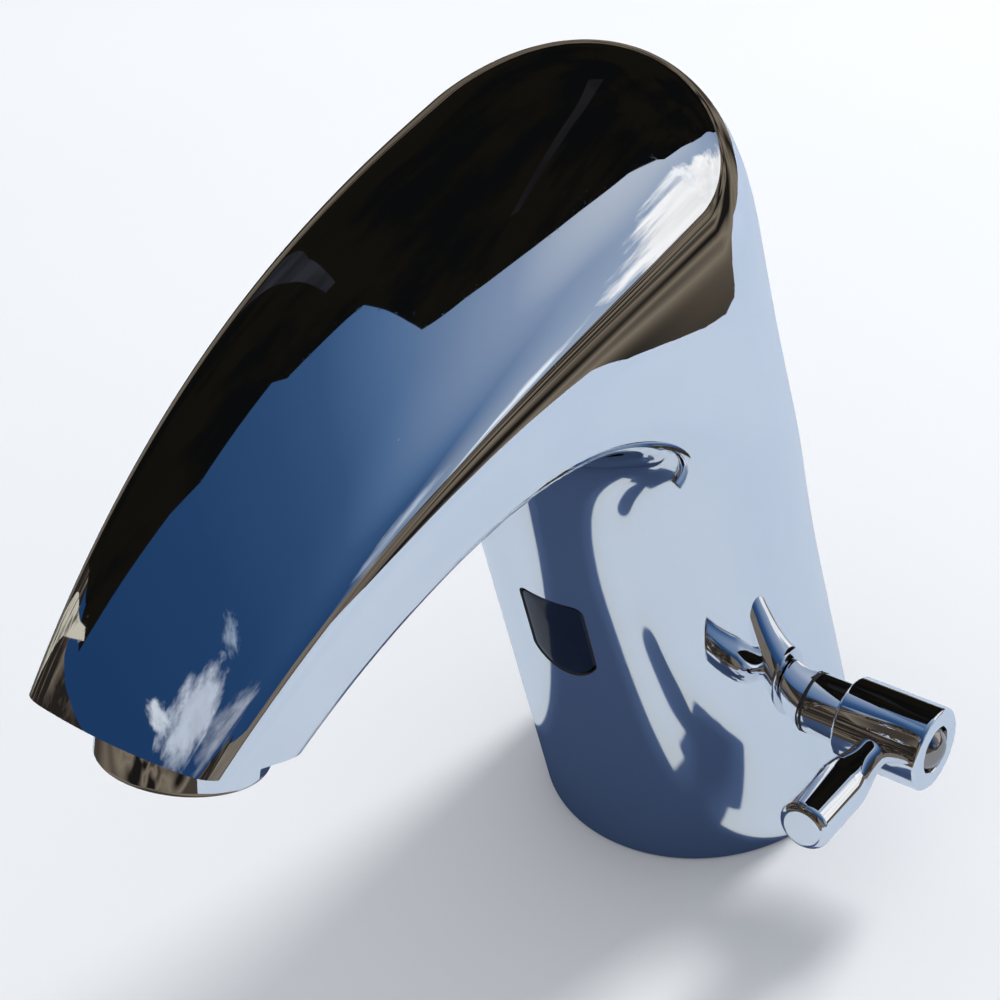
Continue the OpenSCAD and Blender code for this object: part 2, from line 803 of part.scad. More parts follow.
// A round bar between two points
module bar(a, b, r) {
    v = b - a;
    translate(a) rotate([0, acos(v[2] / norm(v)), atan2(v[1], v[0])])
        cylinder(r = r, h = norm(v), $fn = 40);
}

// A bent tube in the middle plane, swept along a soft curve through its points; the flats of its
// bore stand r_in away from its middle
tube_sides = 16;
curve_steps = 4;
function curve_point(a, b, c, d, t) =
    0.5 * (2 * b + (c - a) * t + (2 * a - 5 * b + 4 * c - d) * t * t + (3 * b - a - 3 * c + d) * t * t * t);
function curve(points) =
    let (last = len(points) - 1)
    concat(
        [for (i = [0 : last - 1], k = [0 : curve_steps - 1])
            curve_point(
                i > 0 ? points[i - 1] : 2 * points[0] - points[1],
                points[i],
                points[i + 1],
                i + 2 <= last ? points[i + 2] : 2 * points[last] - points[last - 1],
                k / curve_steps
            )],
        [points[last]]
    );
function along(p, i) =
    let (v = p[min(i + 1, len(p) - 1)] - p[max(i - 1, 0)])
    v / norm(v);
function tube_ring(c, d, r) =
    [for (k = [0 : tube_sides - 1]) let (a = 360 * k / tube_sides)
        c + r * [cos(a), -sin(a) * d[2], sin(a) * d[1]]];
module tube(points, r, r_in) {
    p = curve(points);
    last = len(p) - 1;
    n = tube_sides;
    inner = (last + 1) * n;
    polyhedron(
        points = concat(
            [for (i = [0 : last]) each tube_ring(p[i], along(p, i), r)],
            [for (i = [0 : last]) each tube_ring(p[i], along(p, i), r_in / cos(180 / n))]
        ),
        faces = concat(
            [for (i = [0 : last - 1], j = [0 : n - 1])
                let (a = i * n + j, b = i * n + (j + 1) % n)
                [a, b, b + n, a + n]],
            [for (i = [0 : last - 1], j = [0 : n - 1])
                let (a = inner + i * n + j, b = inner + i * n + (j + 1) % n)
                [b, a, a + n, b + n]],
            [for (j = [0 : n - 1]) let (k = (j + 1) % n) [k, j, inner + j, inner + k]],
            [for (j = [0 : n - 1])
                let (k = (j + 1) % n, e = last * n)
                [e + j, e + k, inner + e + k, inner + e + j]]
        )
    );
}

// The solenoid valve stands above the sensor, in the leaning frame
pipe_wall = 0.8;
pipe_r = spigot_r + pipe_wall;
pipe_y = 15;
pipe_hold = 5;
valve_y = -2;
valve_share = 0.6765;
valve_z = body_h * valve_share;
pipe_bend_share = 0.4;
pipe_bend = (valve_z - spigot_top) * pipe_bend_share;
valve_r = 13;
valve_h = 12;
cover_t = 1.5;
module mixed_water_tube() {
    color("silver") leaned() tube([
        [0, spigot_y, spigot_top - pipe_hold],
        [0, spigot_y, spigot_top],
        [0, spigot_y, spigot_top + pipe_hold],
        [0, pipe_y, spigot_top + pipe_bend],
        [0, pipe_y, valve_z - pipe_bend],
        [0, pipe_y, valve_z]
    ], pipe_r, spigot_r);
}

coil_r = 10;
coil_share = 0.1206;
coil_h = body_h * coil_share;
yoke_t = 1.3;
yoke_w = 13;
tube_r = 4.4;
tube_in_r = 3.4;
coil_top = valve_z - cover_t - yoke_t;
coil_bottom = coil_top - coil_h;
tube_bottom = coil_bottom - yoke_t;
plunger_r = tube_in_r - run_gap;
travel = 2;
spring_room = 3.5;
tip_r = 1.4;
tip_len = 1.8;
spring_r = 2.4;
spring_in_r = 1.6;
module at_valve(z) {
    leaned() translate([0, valve_y, z]) children();
}
module solenoid_coil() {
    color("black") at_valve(coil_bottom) ring_of(tube_r, coil_r, coil_h);
}
module solenoid_yoke() {
    color("slategray") at_valve(coil_bottom - yoke_t) difference() {
        union() {
            for (z = [0, coil_h + yoke_t]) translate([-coil_r - yoke_t, -yoke_w / 2, z])
                cube([2 * coil_r, yoke_w, yoke_t]);
            translate([-coil_r - yoke_t, -yoke_w / 2, 0]) cube([yoke_t, yoke_w, coil_h + 2 * yoke_t]);
        }
        translate([0, 0, -over]) cylinder(r = tube_r, h = coil_h + 4 * yoke_t);
    }
}
module armature_tube() {
    color("lightgray") at_valve(tube_bottom) difference() {
        cylinder(r = tube_r, h = valve_z - tube_bottom);
        translate([0, 0, yoke_t]) cylinder(r = tube_in_r, h = 2 * coil_h);
    }
}
plunger_top = valve_z - tip_len;
plunger_bottom = tube_bottom + yoke_t + spring_room;
module solenoid_plunger() {
    color("darkgray") at_valve(plunger_bottom) union() {
        cylinder(r = plunger_r, h = plunger_top - plunger_bottom);
        cylinder(r = tip_r, h = valve_z - plunger_bottom, $fn = 32);
    }
}
module plunger_spring() {
    color("lightgray") at_valve(tube_bottom + yoke_t) ring_of(spring_in_r, spring_r, spring_room);
}

diaphragm_r = 9.8;
diaphragm_t = 1.2;
module diaphragm() {
    color("black") at_valve(valve_z) union() {
        cylinder(r = diaphragm_r, h = diaphragm_t);
        cylinder(r = diaphragm_r / 2, h = 2 * diaphragm_t);
    }
}

valve_inlet_r = 5.6;
valve_room_h = 6;
outlet_spigot_y = -6;
outlet_spigot_z = valve_z + valve_h;
outlet_spigot_h = 6;
fin_t = 2;
fin_h = 6;
valve_screw_r = 1;
valve_screw_circle_r = 11.3;
valve_screw_head_r = 1.9;
valve_screw_head_h = 1.2;
module at_valve_screws() {
    for (a = [50, 130, 230, 310]) rotate(a) translate([valve_screw_circle_r, 0, 0]) children();
}
module valve_body() {
    color("white") difference() {
        union() {
            at_valve(valve_z) cylinder(r = valve_r, h = valve_h);
            leaned() translate([0, pipe_y, valve_z]) cylinder(r = valve_inlet_r, h = valve_h);
            leaned() translate([0, outlet_spigot_y, outlet_spigot_z])
                cylinder(r = spigot_r, h = outlet_spigot_h);
            leaned() intersection() {
                for (a = [200, 340, 60]) rotate(a) translate([0, -fin_t / 2, valve_z + valve_h / 2])
                    cube([base_r, fin_t, fin_h]);
                cylinder(r1 = bore_bottom_r - gap, r2 = bore_top_r - gap, h = bore_h);
            }
        }
        at_valve(valve_z - over) cylinder(r = diaphragm_r, h = diaphragm_t + over);
        at_valve(valve_z) cylinder(r = diaphragm_r - diaphragm_t, h = valve_room_h);
        leaned() translate([0, pipe_y, valve_z - over]) cylinder(r = spigot_r, h = valve_h / 2);
        leaned() translate([0, outlet_spigot_y, valve_z + diaphragm_t])
            cylinder(r = spigot_bore_r, h = valve_h + 2 * outlet_spigot_h);
        at_valve(valve_z - over) at_valve_screws()
            cylinder(r = valve_screw_r, h = valve_h / 2 + over, $fn = 32);
    }
}
module valve_cover() {
    color("gainsboro") at_valve(valve_z - cover_t) difference() {
        cylinder(r = valve_r, h = cover_t);
        translate([0, 0, -over]) cylinder(r = tube_r, h = cover_t + 2 * over);
        translate([0, pipe_y - valve_y, -over]) cylinder(r = pipe_r + gap, h = cover_t + 2 * over);
        translate([0, 0, -over]) at_valve_screws()
            cylinder(r = valve_screw_r, h = cover_t + 2 * over, $fn = 32);
    }
}
module valve_screws() {
    color("lightgray") at_valve(valve_z - cover_t - valve_screw_head_h) at_valve_screws()
        cap_screw(cover_t + valve_h / 2 - gap, valve_screw_r, valve_screw_head_r, valve_screw_head_h);
}

// The spout's water tube, from the valve's spigot to the adapter over the outlet
adapter_ball_r = 4.4;
ball_back = 3.2;
ball_rise = 8.2;
adapter_ball = [0, ball_back, ball_rise];
way_shares = [0.32, 0.5, 0.7];
function middle_z(y) = (top_mid(y) + under_z(0, y, arch_h)) / 2;
way = [for (w = way_shares) [0, -w * reach, middle_z(-w * reach)]];
function leaned_point(p) =
    [p[0], p[1] * cos(lean) - p[2] * sin(lean), p[1] * sin(lean) + p[2] * cos(lean)];
function outlet_point(p) = [
    p[0],
    -outlet_y + p[1] * cos(outlet_tilt) + p[2] * sin(outlet_tilt),
    outlet_h - p[1] * sin(outlet_tilt) + p[2] * cos(outlet_tilt)
];
tube_start = [for (d = [gap, outlet_spigot_h, 2 * outlet_spigot_h])
    leaned_point([0, outlet_spigot_y, outlet_spigot_z + d])];
ball = outlet_point(adapter_ball);
ball_dir = (way[2] - ball) / norm(way[2] - ball);
tube_end = [for (d = [2 * outlet_spigot_h, outlet_spigot_h, gap]) ball + (adapter_ball_r + d) * ball_dir];
module waterway_tube() {
    color("silver") tube(concat(tube_start, [way[0], way[1]], tube_end), pipe_r, spigot_r);
}

module outlet_adapter() {
    color("white") difference() {
        union() {
            at_outlet() translate([0, 0, thread_depth])
                cylinder(r = adapter_r, h = adapter_top - thread_depth);
            translate(ball) sphere(r = adapter_ball_r, $fn = 40);
            bar(ball, ball + (adapter_ball_r + outlet_spigot_h) * ball_dir, spigot_r);
        }
        at_outlet() translate([0, 0, -over]) cylinder(r = thread_r, h = thread_depth + over);
        at_outlet() cylinder(r = spigot_r, h = adapter_ball[2]);
        translate(ball) sphere(r = spigot_r - pipe_wall, $fn = 40);
        bar(ball, ball + 3 * outlet_spigot_h * ball_dir, spigot_r - pipe_wall);
    }
}

// The aerator: a chromed ring with a thread, a washer above it and a mesh insert
washer_t = 1;
aerator_bore_r = 8.8;
lip_r = 0.8;
insert_hole_r = 0.75;
insert_pitch = 2.1;
insert_rows = 4;
insert_sink = 0.6;
module aerator_washer() {
    color("black") at_outlet() translate([0, 0, thread_depth - washer_t])
        ring_of(adapter_r, thread_r, washer_t);
}
module aerator_housing() {
    ring_r = aerator_d / 2;
    color("silver") at_outlet() rotate_extrude() polygon(concat(
        [[aerator_bore_r, -aerator_drop]],
        arc([ring_r - lip_r, lip_r - aerator_drop], lip_r, -90, 0, 6),
        [[ring_r, 0], [thread_r, 0], [thread_r, thread_depth - washer_t],
            [aerator_bore_r, thread_depth - washer_t]]
    ));
}
module aerator_insert() {
    color("gainsboro") at_outlet() difference() {
        translate([0, 0, insert_sink - aerator_drop])
            cylinder(r = aerator_bore_r, h = aerator_drop + thread_depth - washer_t - insert_sink);
        translate([0, 0, washer_t]) cylinder(r = aerator_bore_r - washer_t, h = base_d);
        translate([0, 0, -aerator_drop - over])
            for (i = [-insert_rows : insert_rows], j = [-insert_rows : insert_rows])
                let (x = (i + j / 2) * insert_pitch, y = j * insert_pitch * sin(60))
                if (norm([x, y]) < aerator_bore_r - 2 * insert_hole_r)
                    translate([x, y, 0])
                        cylinder(r = insert_hole_r, h = aerator_drop + washer_t + 2 * over, $fn = 13);
    }
}

body_casting();
base_gasket();
base_plate();
base_plate_seal();
base_screws();
block_screws();
port_strainers();
mixing_block();
check_valves();
cartridge_housing();
ceramic_fixed_disc();
ceramic_moving_disc();
cartridge_nut();
spindle_seals();
spindle();
stem_collar();
collar_seal();
handle_hub();
lever_arm();
hub_screw();
hub_cap();
sensor_window();
sensor_gasket();
sensor_housing();
sensor_board();
ir_emitter();
ir_receiver();
status_led();
sensor_bracket();
sensor_screws();
mixed_water_tube();
solenoid_coil();
solenoid_yoke();
armature_tube();
solenoid_plunger();
plunger_spring();
diaphragm();
valve_body();
valve_cover();
valve_screws();
waterway_tube();
outlet_adapter();
aerator_washer();
aerator_housing();
aerator_insert();
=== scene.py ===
"""Sensor tap: polished body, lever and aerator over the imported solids, on a pale floor under soft light."""
import math

import bmesh
import bpy
import numpy as np
from mathutils import Matrix, Vector


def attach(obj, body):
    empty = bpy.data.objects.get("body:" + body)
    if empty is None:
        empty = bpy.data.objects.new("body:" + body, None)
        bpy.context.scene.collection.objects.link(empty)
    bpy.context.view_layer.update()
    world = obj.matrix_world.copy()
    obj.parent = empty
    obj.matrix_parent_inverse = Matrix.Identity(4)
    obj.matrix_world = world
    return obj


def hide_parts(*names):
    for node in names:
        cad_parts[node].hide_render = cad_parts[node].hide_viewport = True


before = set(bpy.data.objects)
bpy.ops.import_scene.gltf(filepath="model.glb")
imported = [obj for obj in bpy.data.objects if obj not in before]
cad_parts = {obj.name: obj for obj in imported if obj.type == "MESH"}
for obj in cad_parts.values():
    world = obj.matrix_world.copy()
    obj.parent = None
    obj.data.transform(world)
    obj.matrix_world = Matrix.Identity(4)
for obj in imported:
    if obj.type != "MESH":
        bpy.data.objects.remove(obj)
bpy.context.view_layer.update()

MM = 0.001

# The body's sizes, in millimetres and radians, as in the part's source
BASE_R = 27.0
TOP_R = 24.45
BODY_H = 136.0
LEAN = math.radians(9)
FLARE = 1.3
REACH = 120.2
TIP_W = 31.0
CREST_H = 143.4
CREST_Y = 11.3
TIP_H = 108.8
ROOT_CROWN_R = 51.8
TIP_CROWN_R = 72.9
BACK_R = 135.0
ARCH_H = 111.6
ARCH_Y = 64.0
ARCH_R = 84.0
BELLY = 2.5
ARCH_BLEND = 24.0
UNDER_ROUND = 1.4
TIP_ROUND = 1.5
SHOULDER_ROUND = 9.1
OUTLET_Y = 107.3
OUTLET_H = 102.4
OUTLET_TILT = math.radians(24)
SHAFT_H = 25.6
SHAFT_Y = -math.tan(LEAN) * SHAFT_H
PIVOT_REACH = 48.0
PIVOT_Y = -OUTLET_Y + math.cos(OUTLET_TILT) * PIVOT_REACH
PIVOT_Z = OUTLET_H - math.sin(OUTLET_TILT) * PIVOT_REACH
FAN_END = 156.0

# The shape of the body's curves, as in the part's source
SOFT = 0.15
FLARE_FROM = 0.66
ROOT_SPREAD = 1.04
PLAN_POWER = 1.67
SAG_SHARE = 0.24
SAG_POWER = 2.59
TOP_SLOPE = 0.3
UNDER_SLOPE = 0.9
ROUND_RUN = 0.83
ROUND_POWER = 1.37

# How a section ring is searched and shared out: the longest ray, the usual angles of the ridge and
# of the underside's edge, and the sections from which each is looked for
RAY_END = 110.0
RIDGE_ANGLE = 115.0
EDGE_ANGLE = 50.0
EDGE_LEAST = 25.0
RIDGE_FROM = 45
EDGE_FROM = 65
HALVINGS = 26


# The body's surface
def ramp(v, c):
    """Zero below -c, v above c, and a smooth curve between."""
    t = np.clip((v + c) / (2 * c), 0, None)
    return np.where(v > c, v, c * t ** 3 * (2 - np.minimum(t, 1)))


def soft_max(a, b, k):
    """The larger of a and b, rounded over a width of about k where they meet."""
    w = 1.5 * k
    h = np.clip(w - np.abs(a - b), 0, None) / w
    return np.maximum(a, b) + w * h ** 3 / 6


def axis_y(z):
    """The leaning column's axis at a height."""
    return -math.tan(LEAN) * z


def column_r(z):
    flare = FLARE * (np.clip(z / BODY_H - FLARE_FROM, 0, None) / (1 - FLARE_FROM)) ** 2
    return BASE_R - (BASE_R - TOP_R) * z / BODY_H + flare


def half_w(y, z):
    """Half the width of the spout, from the column's to the tip's."""
    v = np.minimum(1, (axis_y(z) - y) / (axis_y(z) + REACH))
    return TIP_W / 2 + (ROOT_SPREAD * column_r(z) - TIP_W / 2) * (1 - ramp(v, SOFT) ** PLAN_POWER)


def top_mid(y):
    """The height of the top's middle line, which sinks to the tip and falls off behind."""
    u = ramp((-CREST_Y - y) / (REACH - CREST_Y), SOFT)
    b = np.clip(y + CREST_Y, 0, None)
    sag = SAG_SHARE * u + (1 - SAG_SHARE) * u ** SAG_POWER
    return CREST_H - (CREST_H - TIP_H) * sag - b * b / (2 * BACK_R)


def top_z(x, y):
    crown = ROOT_CROWN_R + (TIP_CROWN_R - ROOT_CROWN_R) * ramp(-y / REACH, SOFT)
    return top_mid(y) - x * x / (2 * crown)


def under_z(x, y, z):
    """The height of the underside's arch, with its belly."""
    u = y + ARCH_Y
    e = np.minimum(1, np.abs(x) / half_w(y, z))
    return ARCH_H - u * u / (2 * ARCH_R) - BELLY * (1 - e * e)


def outside(p, wall=0.0):
    """Distance outside the body's surface, less than zero inside."""
    x, y, z = np.abs(p[..., 0]), p[..., 1], p[..., 2]
    a = axis_y(z)
    r = column_r(z)
    column = np.sqrt(x * x + (y - a) ** 2) - r
    side = 1 - np.clip((y - a) / r, 0, 1) ** 2
    plan = np.where(y < a, x - half_w(y, z), column - (half_w(y, z) - r) * side * side)
    top = (z - top_z(x, y)) / np.sqrt(1 + TOP_SLOPE * np.clip(-y / REACH, 0, 1))
    low = -soft_max(-(under_z(x, y, z) - z) * UNDER_SLOPE, -column, ARCH_BLEND)
    t = 1 - ramp(1 - np.clip((y + REACH) / (REACH * ROUND_RUN), 0, None), SOFT)
    blend = 2 * (TIP_ROUND + (SHOULDER_ROUND - TIP_ROUND) * np.clip(t, 0, None) ** ROUND_POWER)
    return soft_max(soft_max(plan, low, 2 * UNDER_ROUND), top, blend) + wall


def gradient(p, h=0.004):
    """The unit normals of the surface at points p, by differences over h."""
    g = np.empty_like(p)
    for k in range(3):
        d = np.zeros(3)
        d[k] = h
        g[..., k] = outside(p + d) - outside(p - d)
    return g / np.linalg.norm(g, axis=-1, keepdims=True)


def crowd(n, lo, hi, first, last):
    """Values from lo to hi that crowd towards the first end, the last end or both."""
    u = np.linspace(0, 1, n + 1)
    if first and last:
        u = 0.5 - 0.5 * np.cos(np.pi * u)
    elif first:
        u = 1 - np.cos(0.5 * np.pi * u)
    elif last:
        u = np.sin(0.5 * np.pi * u)
    return lo + (hi - lo) * u


def ring(origin, way, angle, wall, counts):
    """One closed ring of points round the body in a section plane."""
    def point(x, r):
        return np.stack([x + 0 * r, origin[0] + r * way[0], origin[1] + r * way[1]], -1)

    r = np.linspace(2, RAY_END, 400)
    inside = np.where(outside(point(0 * r, r), wall) < 0)[0]
    c = (r[inside[0]] + r[inside[-1]]) / 2
    ridge, edge = RIDGE_ANGLE, EDGE_ANGLE
    p = point(0 * r, r)
    w = half_w(p[:, 1], p[:, 2])
    turn = np.degrees(np.arctan2(w, c - r))
    if angle > RIDGE_FROM:
        k = np.where((r > c) & (p[:, 2] > top_z(w, p[:, 1])))[0]
        if len(k):
            ridge = min(ridge, turn[k[0]])
    if angle > EDGE_FROM:
        k = np.where((r < c) & (under_z(w, p[:, 1], p[:, 2]) < p[:, 2]))[0]
        if len(k):
            edge = max(EDGE_LEAST, min(edge, turn[k[0]]))
    th = np.radians(np.concatenate([
        crowd(counts[0], 0, edge, False, True)[:-1],
        crowd(counts[1], edge, ridge, True, True)[:-1],
        crowd(counts[2], ridge, 180, True, False),
    ]))
    dx, dr = np.sin(th), -np.cos(th)
    lo, hi = np.zeros_like(th), np.full_like(th, RAY_END)
    for _ in range(HALVINGS):
        m = (lo + hi) / 2
        hit = outside(point(m * dx, c + m * dr), wall) < 0
        lo, hi = np.where(hit, m, lo), np.where(hit, hi, m)
    half = point(lo * dx, c + lo * dr)
    return np.concatenate([half, half[-2:0:-1] * np.array([-1, 1, 1])])


def body_rings(levels, fans, counts, wall=0.0, start=0.0, end=FAN_END):
    """Level rings up the column, then a fan of rings about the pivot under the crown, out to the tip."""
    rings = [
        ring((PIVOT_Y, z), (1, 0), 0, wall, counts)
        for z in np.linspace(0, PIVOT_Z, levels + 1)[:-1]
    ] if levels else []
    for a in np.linspace(start, end, fans + 1):
        t = math.radians(a)
        rings.append(ring((PIVOT_Y, PIVOT_Z), (math.cos(t), math.sin(t)), a, wall, counts))
    return np.array(rings)


# Mesh helpers
def new_object(name, verts, faces, smooth=True):
    mesh = bpy.data.meshes.new(name)
    mesh.from_pydata([tuple(v) for v in verts], [], faces)
    mesh.validate()
    mesh.update()
    for p in mesh.polygons:
        p.use_smooth = smooth
    obj = bpy.data.objects.new(name, mesh)
    bpy.context.scene.collection.objects.link(obj)
    return obj


def loft(name, rings):
    """A closed solid through rings of points in millimetres, with its ends filled."""
    n = len(rings[0])
    last = len(rings) - 1
    faces = [
        (i * n + j, i * n + (j + 1) % n, (i + 1) * n + (j + 1) % n, (i + 1) * n + j)
        for i in range(last) for j in range(n)
    ]
    faces.append(tuple(reversed(range(n))))
    faces.append(tuple(last * n + j for j in range(n)))
    obj = new_object(name, np.reshape(rings, (-1, 3)) * MM, faces)
    outward(obj)
    return obj


def outward(obj):
    """Turns the faces of a closed mesh outward."""
    bm = bmesh.new()
    bm.from_mesh(obj.data)
    bmesh.ops.recalc_face_normals(bm, faces=bm.faces)
    bm.to_mesh(obj.data)
    bm.free()


def lathe(name, profile, matrix, segments=144, closed=False):
    """Turns a profile of (radius, height) in millimetres about its own Z, then places it by matrix."""
    profile = np.array(profile, float)
    verts, faces, rows = [], [], []
    for r, z in profile:
        if r < 1e-6:
            rows.append([len(verts)] * segments)
            verts.append(matrix @ Vector((0, 0, z)))
            continue
        rows.append(list(range(len(verts), len(verts) + segments)))
        for k in range(segments):
            a = 2 * math.pi * k / segments
            verts.append(matrix @ Vector((r * math.cos(a), r * math.sin(a), z)))
    pairs = list(zip(rows, rows[1:])) + ([(rows[-1], rows[0])] if closed else [])
    for a, b in pairs:
        for k in range(segments):
            m = (k + 1) % segments
            loop = []
            for v in (a[k], a[m], b[m], b[k]):
                if v not in loop:
                    loop.append(v)
            if len(loop) > 2:
                faces.append(tuple(loop))
    obj = new_object(name, [v * MM for v in verts], faces)
    outward(obj)
    sharp_edges(obj, 35)
    return obj


def sharp_edges(obj, degrees):
    obj.data.set_sharp_from_angle(angle=math.radians(degrees))


def arc(cx, cy, r, start, end, n):
    """Points of an arc, from start to end in degrees."""
    return [
        (cx + r * math.cos(math.radians(a)), cy + r * math.sin(math.radians(a)))
        for a in np.linspace(start, end, n + 1)
    ]


def cut(obj, cutters):
    """Cuts closed solids out of obj, one after the other, and deletes them."""
    for c in cutters:
        mod = obj.modifiers.new("cut", "BOOLEAN")
        mod.operation = "DIFFERENCE"
        mod.solver = "EXACT"
        mod.object = c
    apply_modifiers(obj)
    for c in cutters:
        bpy.data.objects.remove(c, do_unlink=True)


def apply_modifiers(obj):
    deps = bpy.context.evaluated_depsgraph_get()
    mesh = bpy.data.meshes.new_from_object(obj.evaluated_get(deps))
    obj.modifiers.clear()
    obj.data = mesh


def cyl(name, matrix, r1, r2, z0, z1, segments=96):
    """A cylinder or cone, from z0 with radius r1 to z1 with radius r2."""
    return lathe(name, [(0, z0), (r1, z0), (r2, z1), (0, z1)], matrix, segments)


def tube(name, matrix, r_in, r_out, z0, z1, segments=128):
    return lathe(name, [(r_in, z0), (r_out, z0), (r_out, z1), (r_in, z1)], matrix, segments, closed=True)


def prism(name, outline, matrix, z0, z1):
    """A straight solid over an outline, from z0 to z1, placed by matrix."""
    n = len(outline)
    verts = [matrix @ Vector((x, y, z)) * MM for z in (z0, z1) for x, y in outline]
    faces = [(j, (j + 1) % n, n + (j + 1) % n, n + j) for j in range(n)]
    faces += [tuple(reversed(range(n))), tuple(n + j for j in range(n))]
    obj = new_object(name, verts, faces)
    outward(obj)
    return obj


# Frames in millimetres: the column leans, the outlet is tilted, the shaft lies along X, and the lever
# points forward and a little up
UPRIGHT = Matrix.Identity(4)
LEANED = Matrix.Rotation(LEAN, 4, "X")
OUTLET = Matrix.Translation((0, -OUTLET_Y, OUTLET_H)) @ Matrix.Rotation(-OUTLET_TILT, 4, "X")
ALONG_X = Matrix.Translation((0, SHAFT_Y, SHAFT_H)) @ Matrix.Rotation(math.pi / 2, 4, "Y")
HUB_X = 32.7
HUB_LEN = 15.3
HUB_R = 6.95
LEVER_X = HUB_X + 7.1
LEVER_TURN = math.radians(83)
LEVER = Matrix.Translation((LEVER_X, SHAFT_Y, SHAFT_H)) @ Matrix.Rotation(LEVER_TURN, 4, "X")


def at(matrix, x=0, y=0, z=0):
    """The frame of matrix, moved by (x, y, z) in its own axes."""
    return matrix @ Matrix.Translation((x, y, z))


# Camera, fitted to the photograph: where it stands in metres, and its own three axes
CAMERA_AT = (0.18909, -0.25940, 0.32804)
CAMERA_RIGHT = (0.8079, 0.5780, -0.1148)
CAMERA_UP = (-0.3046, 0.5764, 0.7583)
CAMERA_BACK = (0.5045, -0.5777, 0.6417)
SENSOR = 36
FOCAL = 2.63514


def add_camera():
    data = bpy.data.cameras.new("camera")
    data.sensor_fit = "HORIZONTAL"
    data.sensor_width = SENSOR
    data.lens = SENSOR * FOCAL
    data.clip_start = 0.01
    data.clip_end = 50
    cam = bpy.data.objects.new("camera", data)
    bpy.context.scene.collection.objects.link(cam)
    turn = Matrix((CAMERA_RIGHT, CAMERA_UP, CAMERA_BACK)).transposed()
    cam.matrix_world = Matrix.Translation(CAMERA_AT) @ turn.to_4x4()
    bpy.context.scene.camera = cam


add_camera()


# Materials
def material(name):
    """A new material, its node tree and its shader."""
    mat = bpy.data.materials.new(name)
    mat.use_nodes = True
    tree = mat.node_tree
    shader = tree.nodes["Principled BSDF"]
    return mat, tree, shader


def squeezed(tree, vector, scale, turn=0.0, shift=(0, 0, 0)):
    """A vector scaled along each axis, turned about Z by degrees and shifted."""
    node = tree.nodes.new("ShaderNodeMapping")
    node.inputs["Scale"].default_value = scale
    node.inputs["Rotation"].default_value = (0, 0, math.radians(turn))
    node.inputs["Location"].default_value = shift
    tree.links.new(vector, node.inputs["Vector"])
    return node.outputs["Vector"]


def own_coords(tree):
    """The object's own coordinates, in metres."""
    return tree.nodes.new("ShaderNodeTexCoord").outputs["Object"]


def coords(tree, scale):
    return squeezed(tree, own_coords(tree), (scale, scale, scale))


def noise(tree, vector, scale, detail=3.0, rough=0.5):
    node = tree.nodes.new("ShaderNodeTexNoise")
    node.inputs["Scale"].default_value = scale
    node.inputs["Detail"].default_value = detail
    node.inputs["Roughness"].default_value = rough
    tree.links.new(vector, node.inputs["Vector"])
    return node.outputs["Fac"]


def levels(tree, value, lo, hi, out_lo, out_hi):
    """Maps lo to hi onto out_lo to out_hi, held at both ends."""
    node = tree.nodes.new("ShaderNodeMapRange")
    node.inputs["From Min"].default_value = lo
    node.inputs["From Max"].default_value = hi
    node.inputs["To Min"].default_value = out_lo
    node.inputs["To Max"].default_value = out_hi
    tree.links.new(value, node.inputs["Value"])
    return node.outputs["Result"]


def tint(tree, fac, stops):
    """A colour that runs through stops of (position, colour)."""
    node = tree.nodes.new("ShaderNodeValToRGB")
    elements = node.color_ramp.elements
    while len(elements) < len(stops):
        elements.new(0.5)
    for element, (position, color) in zip(elements, stops):
        element.position = position
        element.color = (*color, 1)
    tree.links.new(fac, node.inputs["Fac"])
    return node.outputs["Color"]


def bump(tree, height, strength, distance):
    node = tree.nodes.new("ShaderNodeBump")
    node.inputs["Strength"].default_value = strength
    node.inputs["Distance"].default_value = distance
    tree.links.new(height, node.inputs["Height"])
    return node.outputs["Normal"]


def metal(name, base, dark, rough, rough_to, scale=60, grain=0.0, grain_stretch=None):
    """A metal whose tint and roughness vary softly, with fine specks and, if asked for, turned grain."""
    mat, tree, shader = material(name)
    vec = coords(tree, scale)
    broad = noise(tree, vec, 1.0, 4.0, 0.6)
    fine = noise(tree, vec, 22.0, 2.0, 0.5)
    tree.links.new(tint(tree, broad, [(0.35, dark), (0.65, base)]), shader.inputs["Base Color"])
    tree.links.new(levels(tree, fine, 0.62, 0.8, rough, rough_to), shader.inputs["Roughness"])
    shader.inputs["Metallic"].default_value = 1.0
    if grain:
        lines = noise(tree, squeezed(tree, vec, grain_stretch), 8.0, 2.0, 0.5)
        tree.links.new(bump(tree, lines, grain, 0.0002), shader.inputs["Normal"])
    return mat


def plastic(name, base, other, rough, rough_to, scale=200, texture=0.05):
    """A plastic, rubber or ceramic with a soft change of tint and a fine texture."""
    mat, tree, shader = material(name)
    vec = coords(tree, scale)
    broad = noise(tree, vec, 0.4, 3.0, 0.5)
    fine = noise(tree, vec, 6.0, 3.0, 0.6)
    tree.links.new(tint(tree, broad, [(0.3, other), (0.7, base)]), shader.inputs["Base Color"])
    tree.links.new(levels(tree, fine, 0.3, 0.7, rough, rough_to), shader.inputs["Roughness"])
    tree.links.new(bump(tree, fine, texture, 0.0001), shader.inputs["Normal"])
    return mat


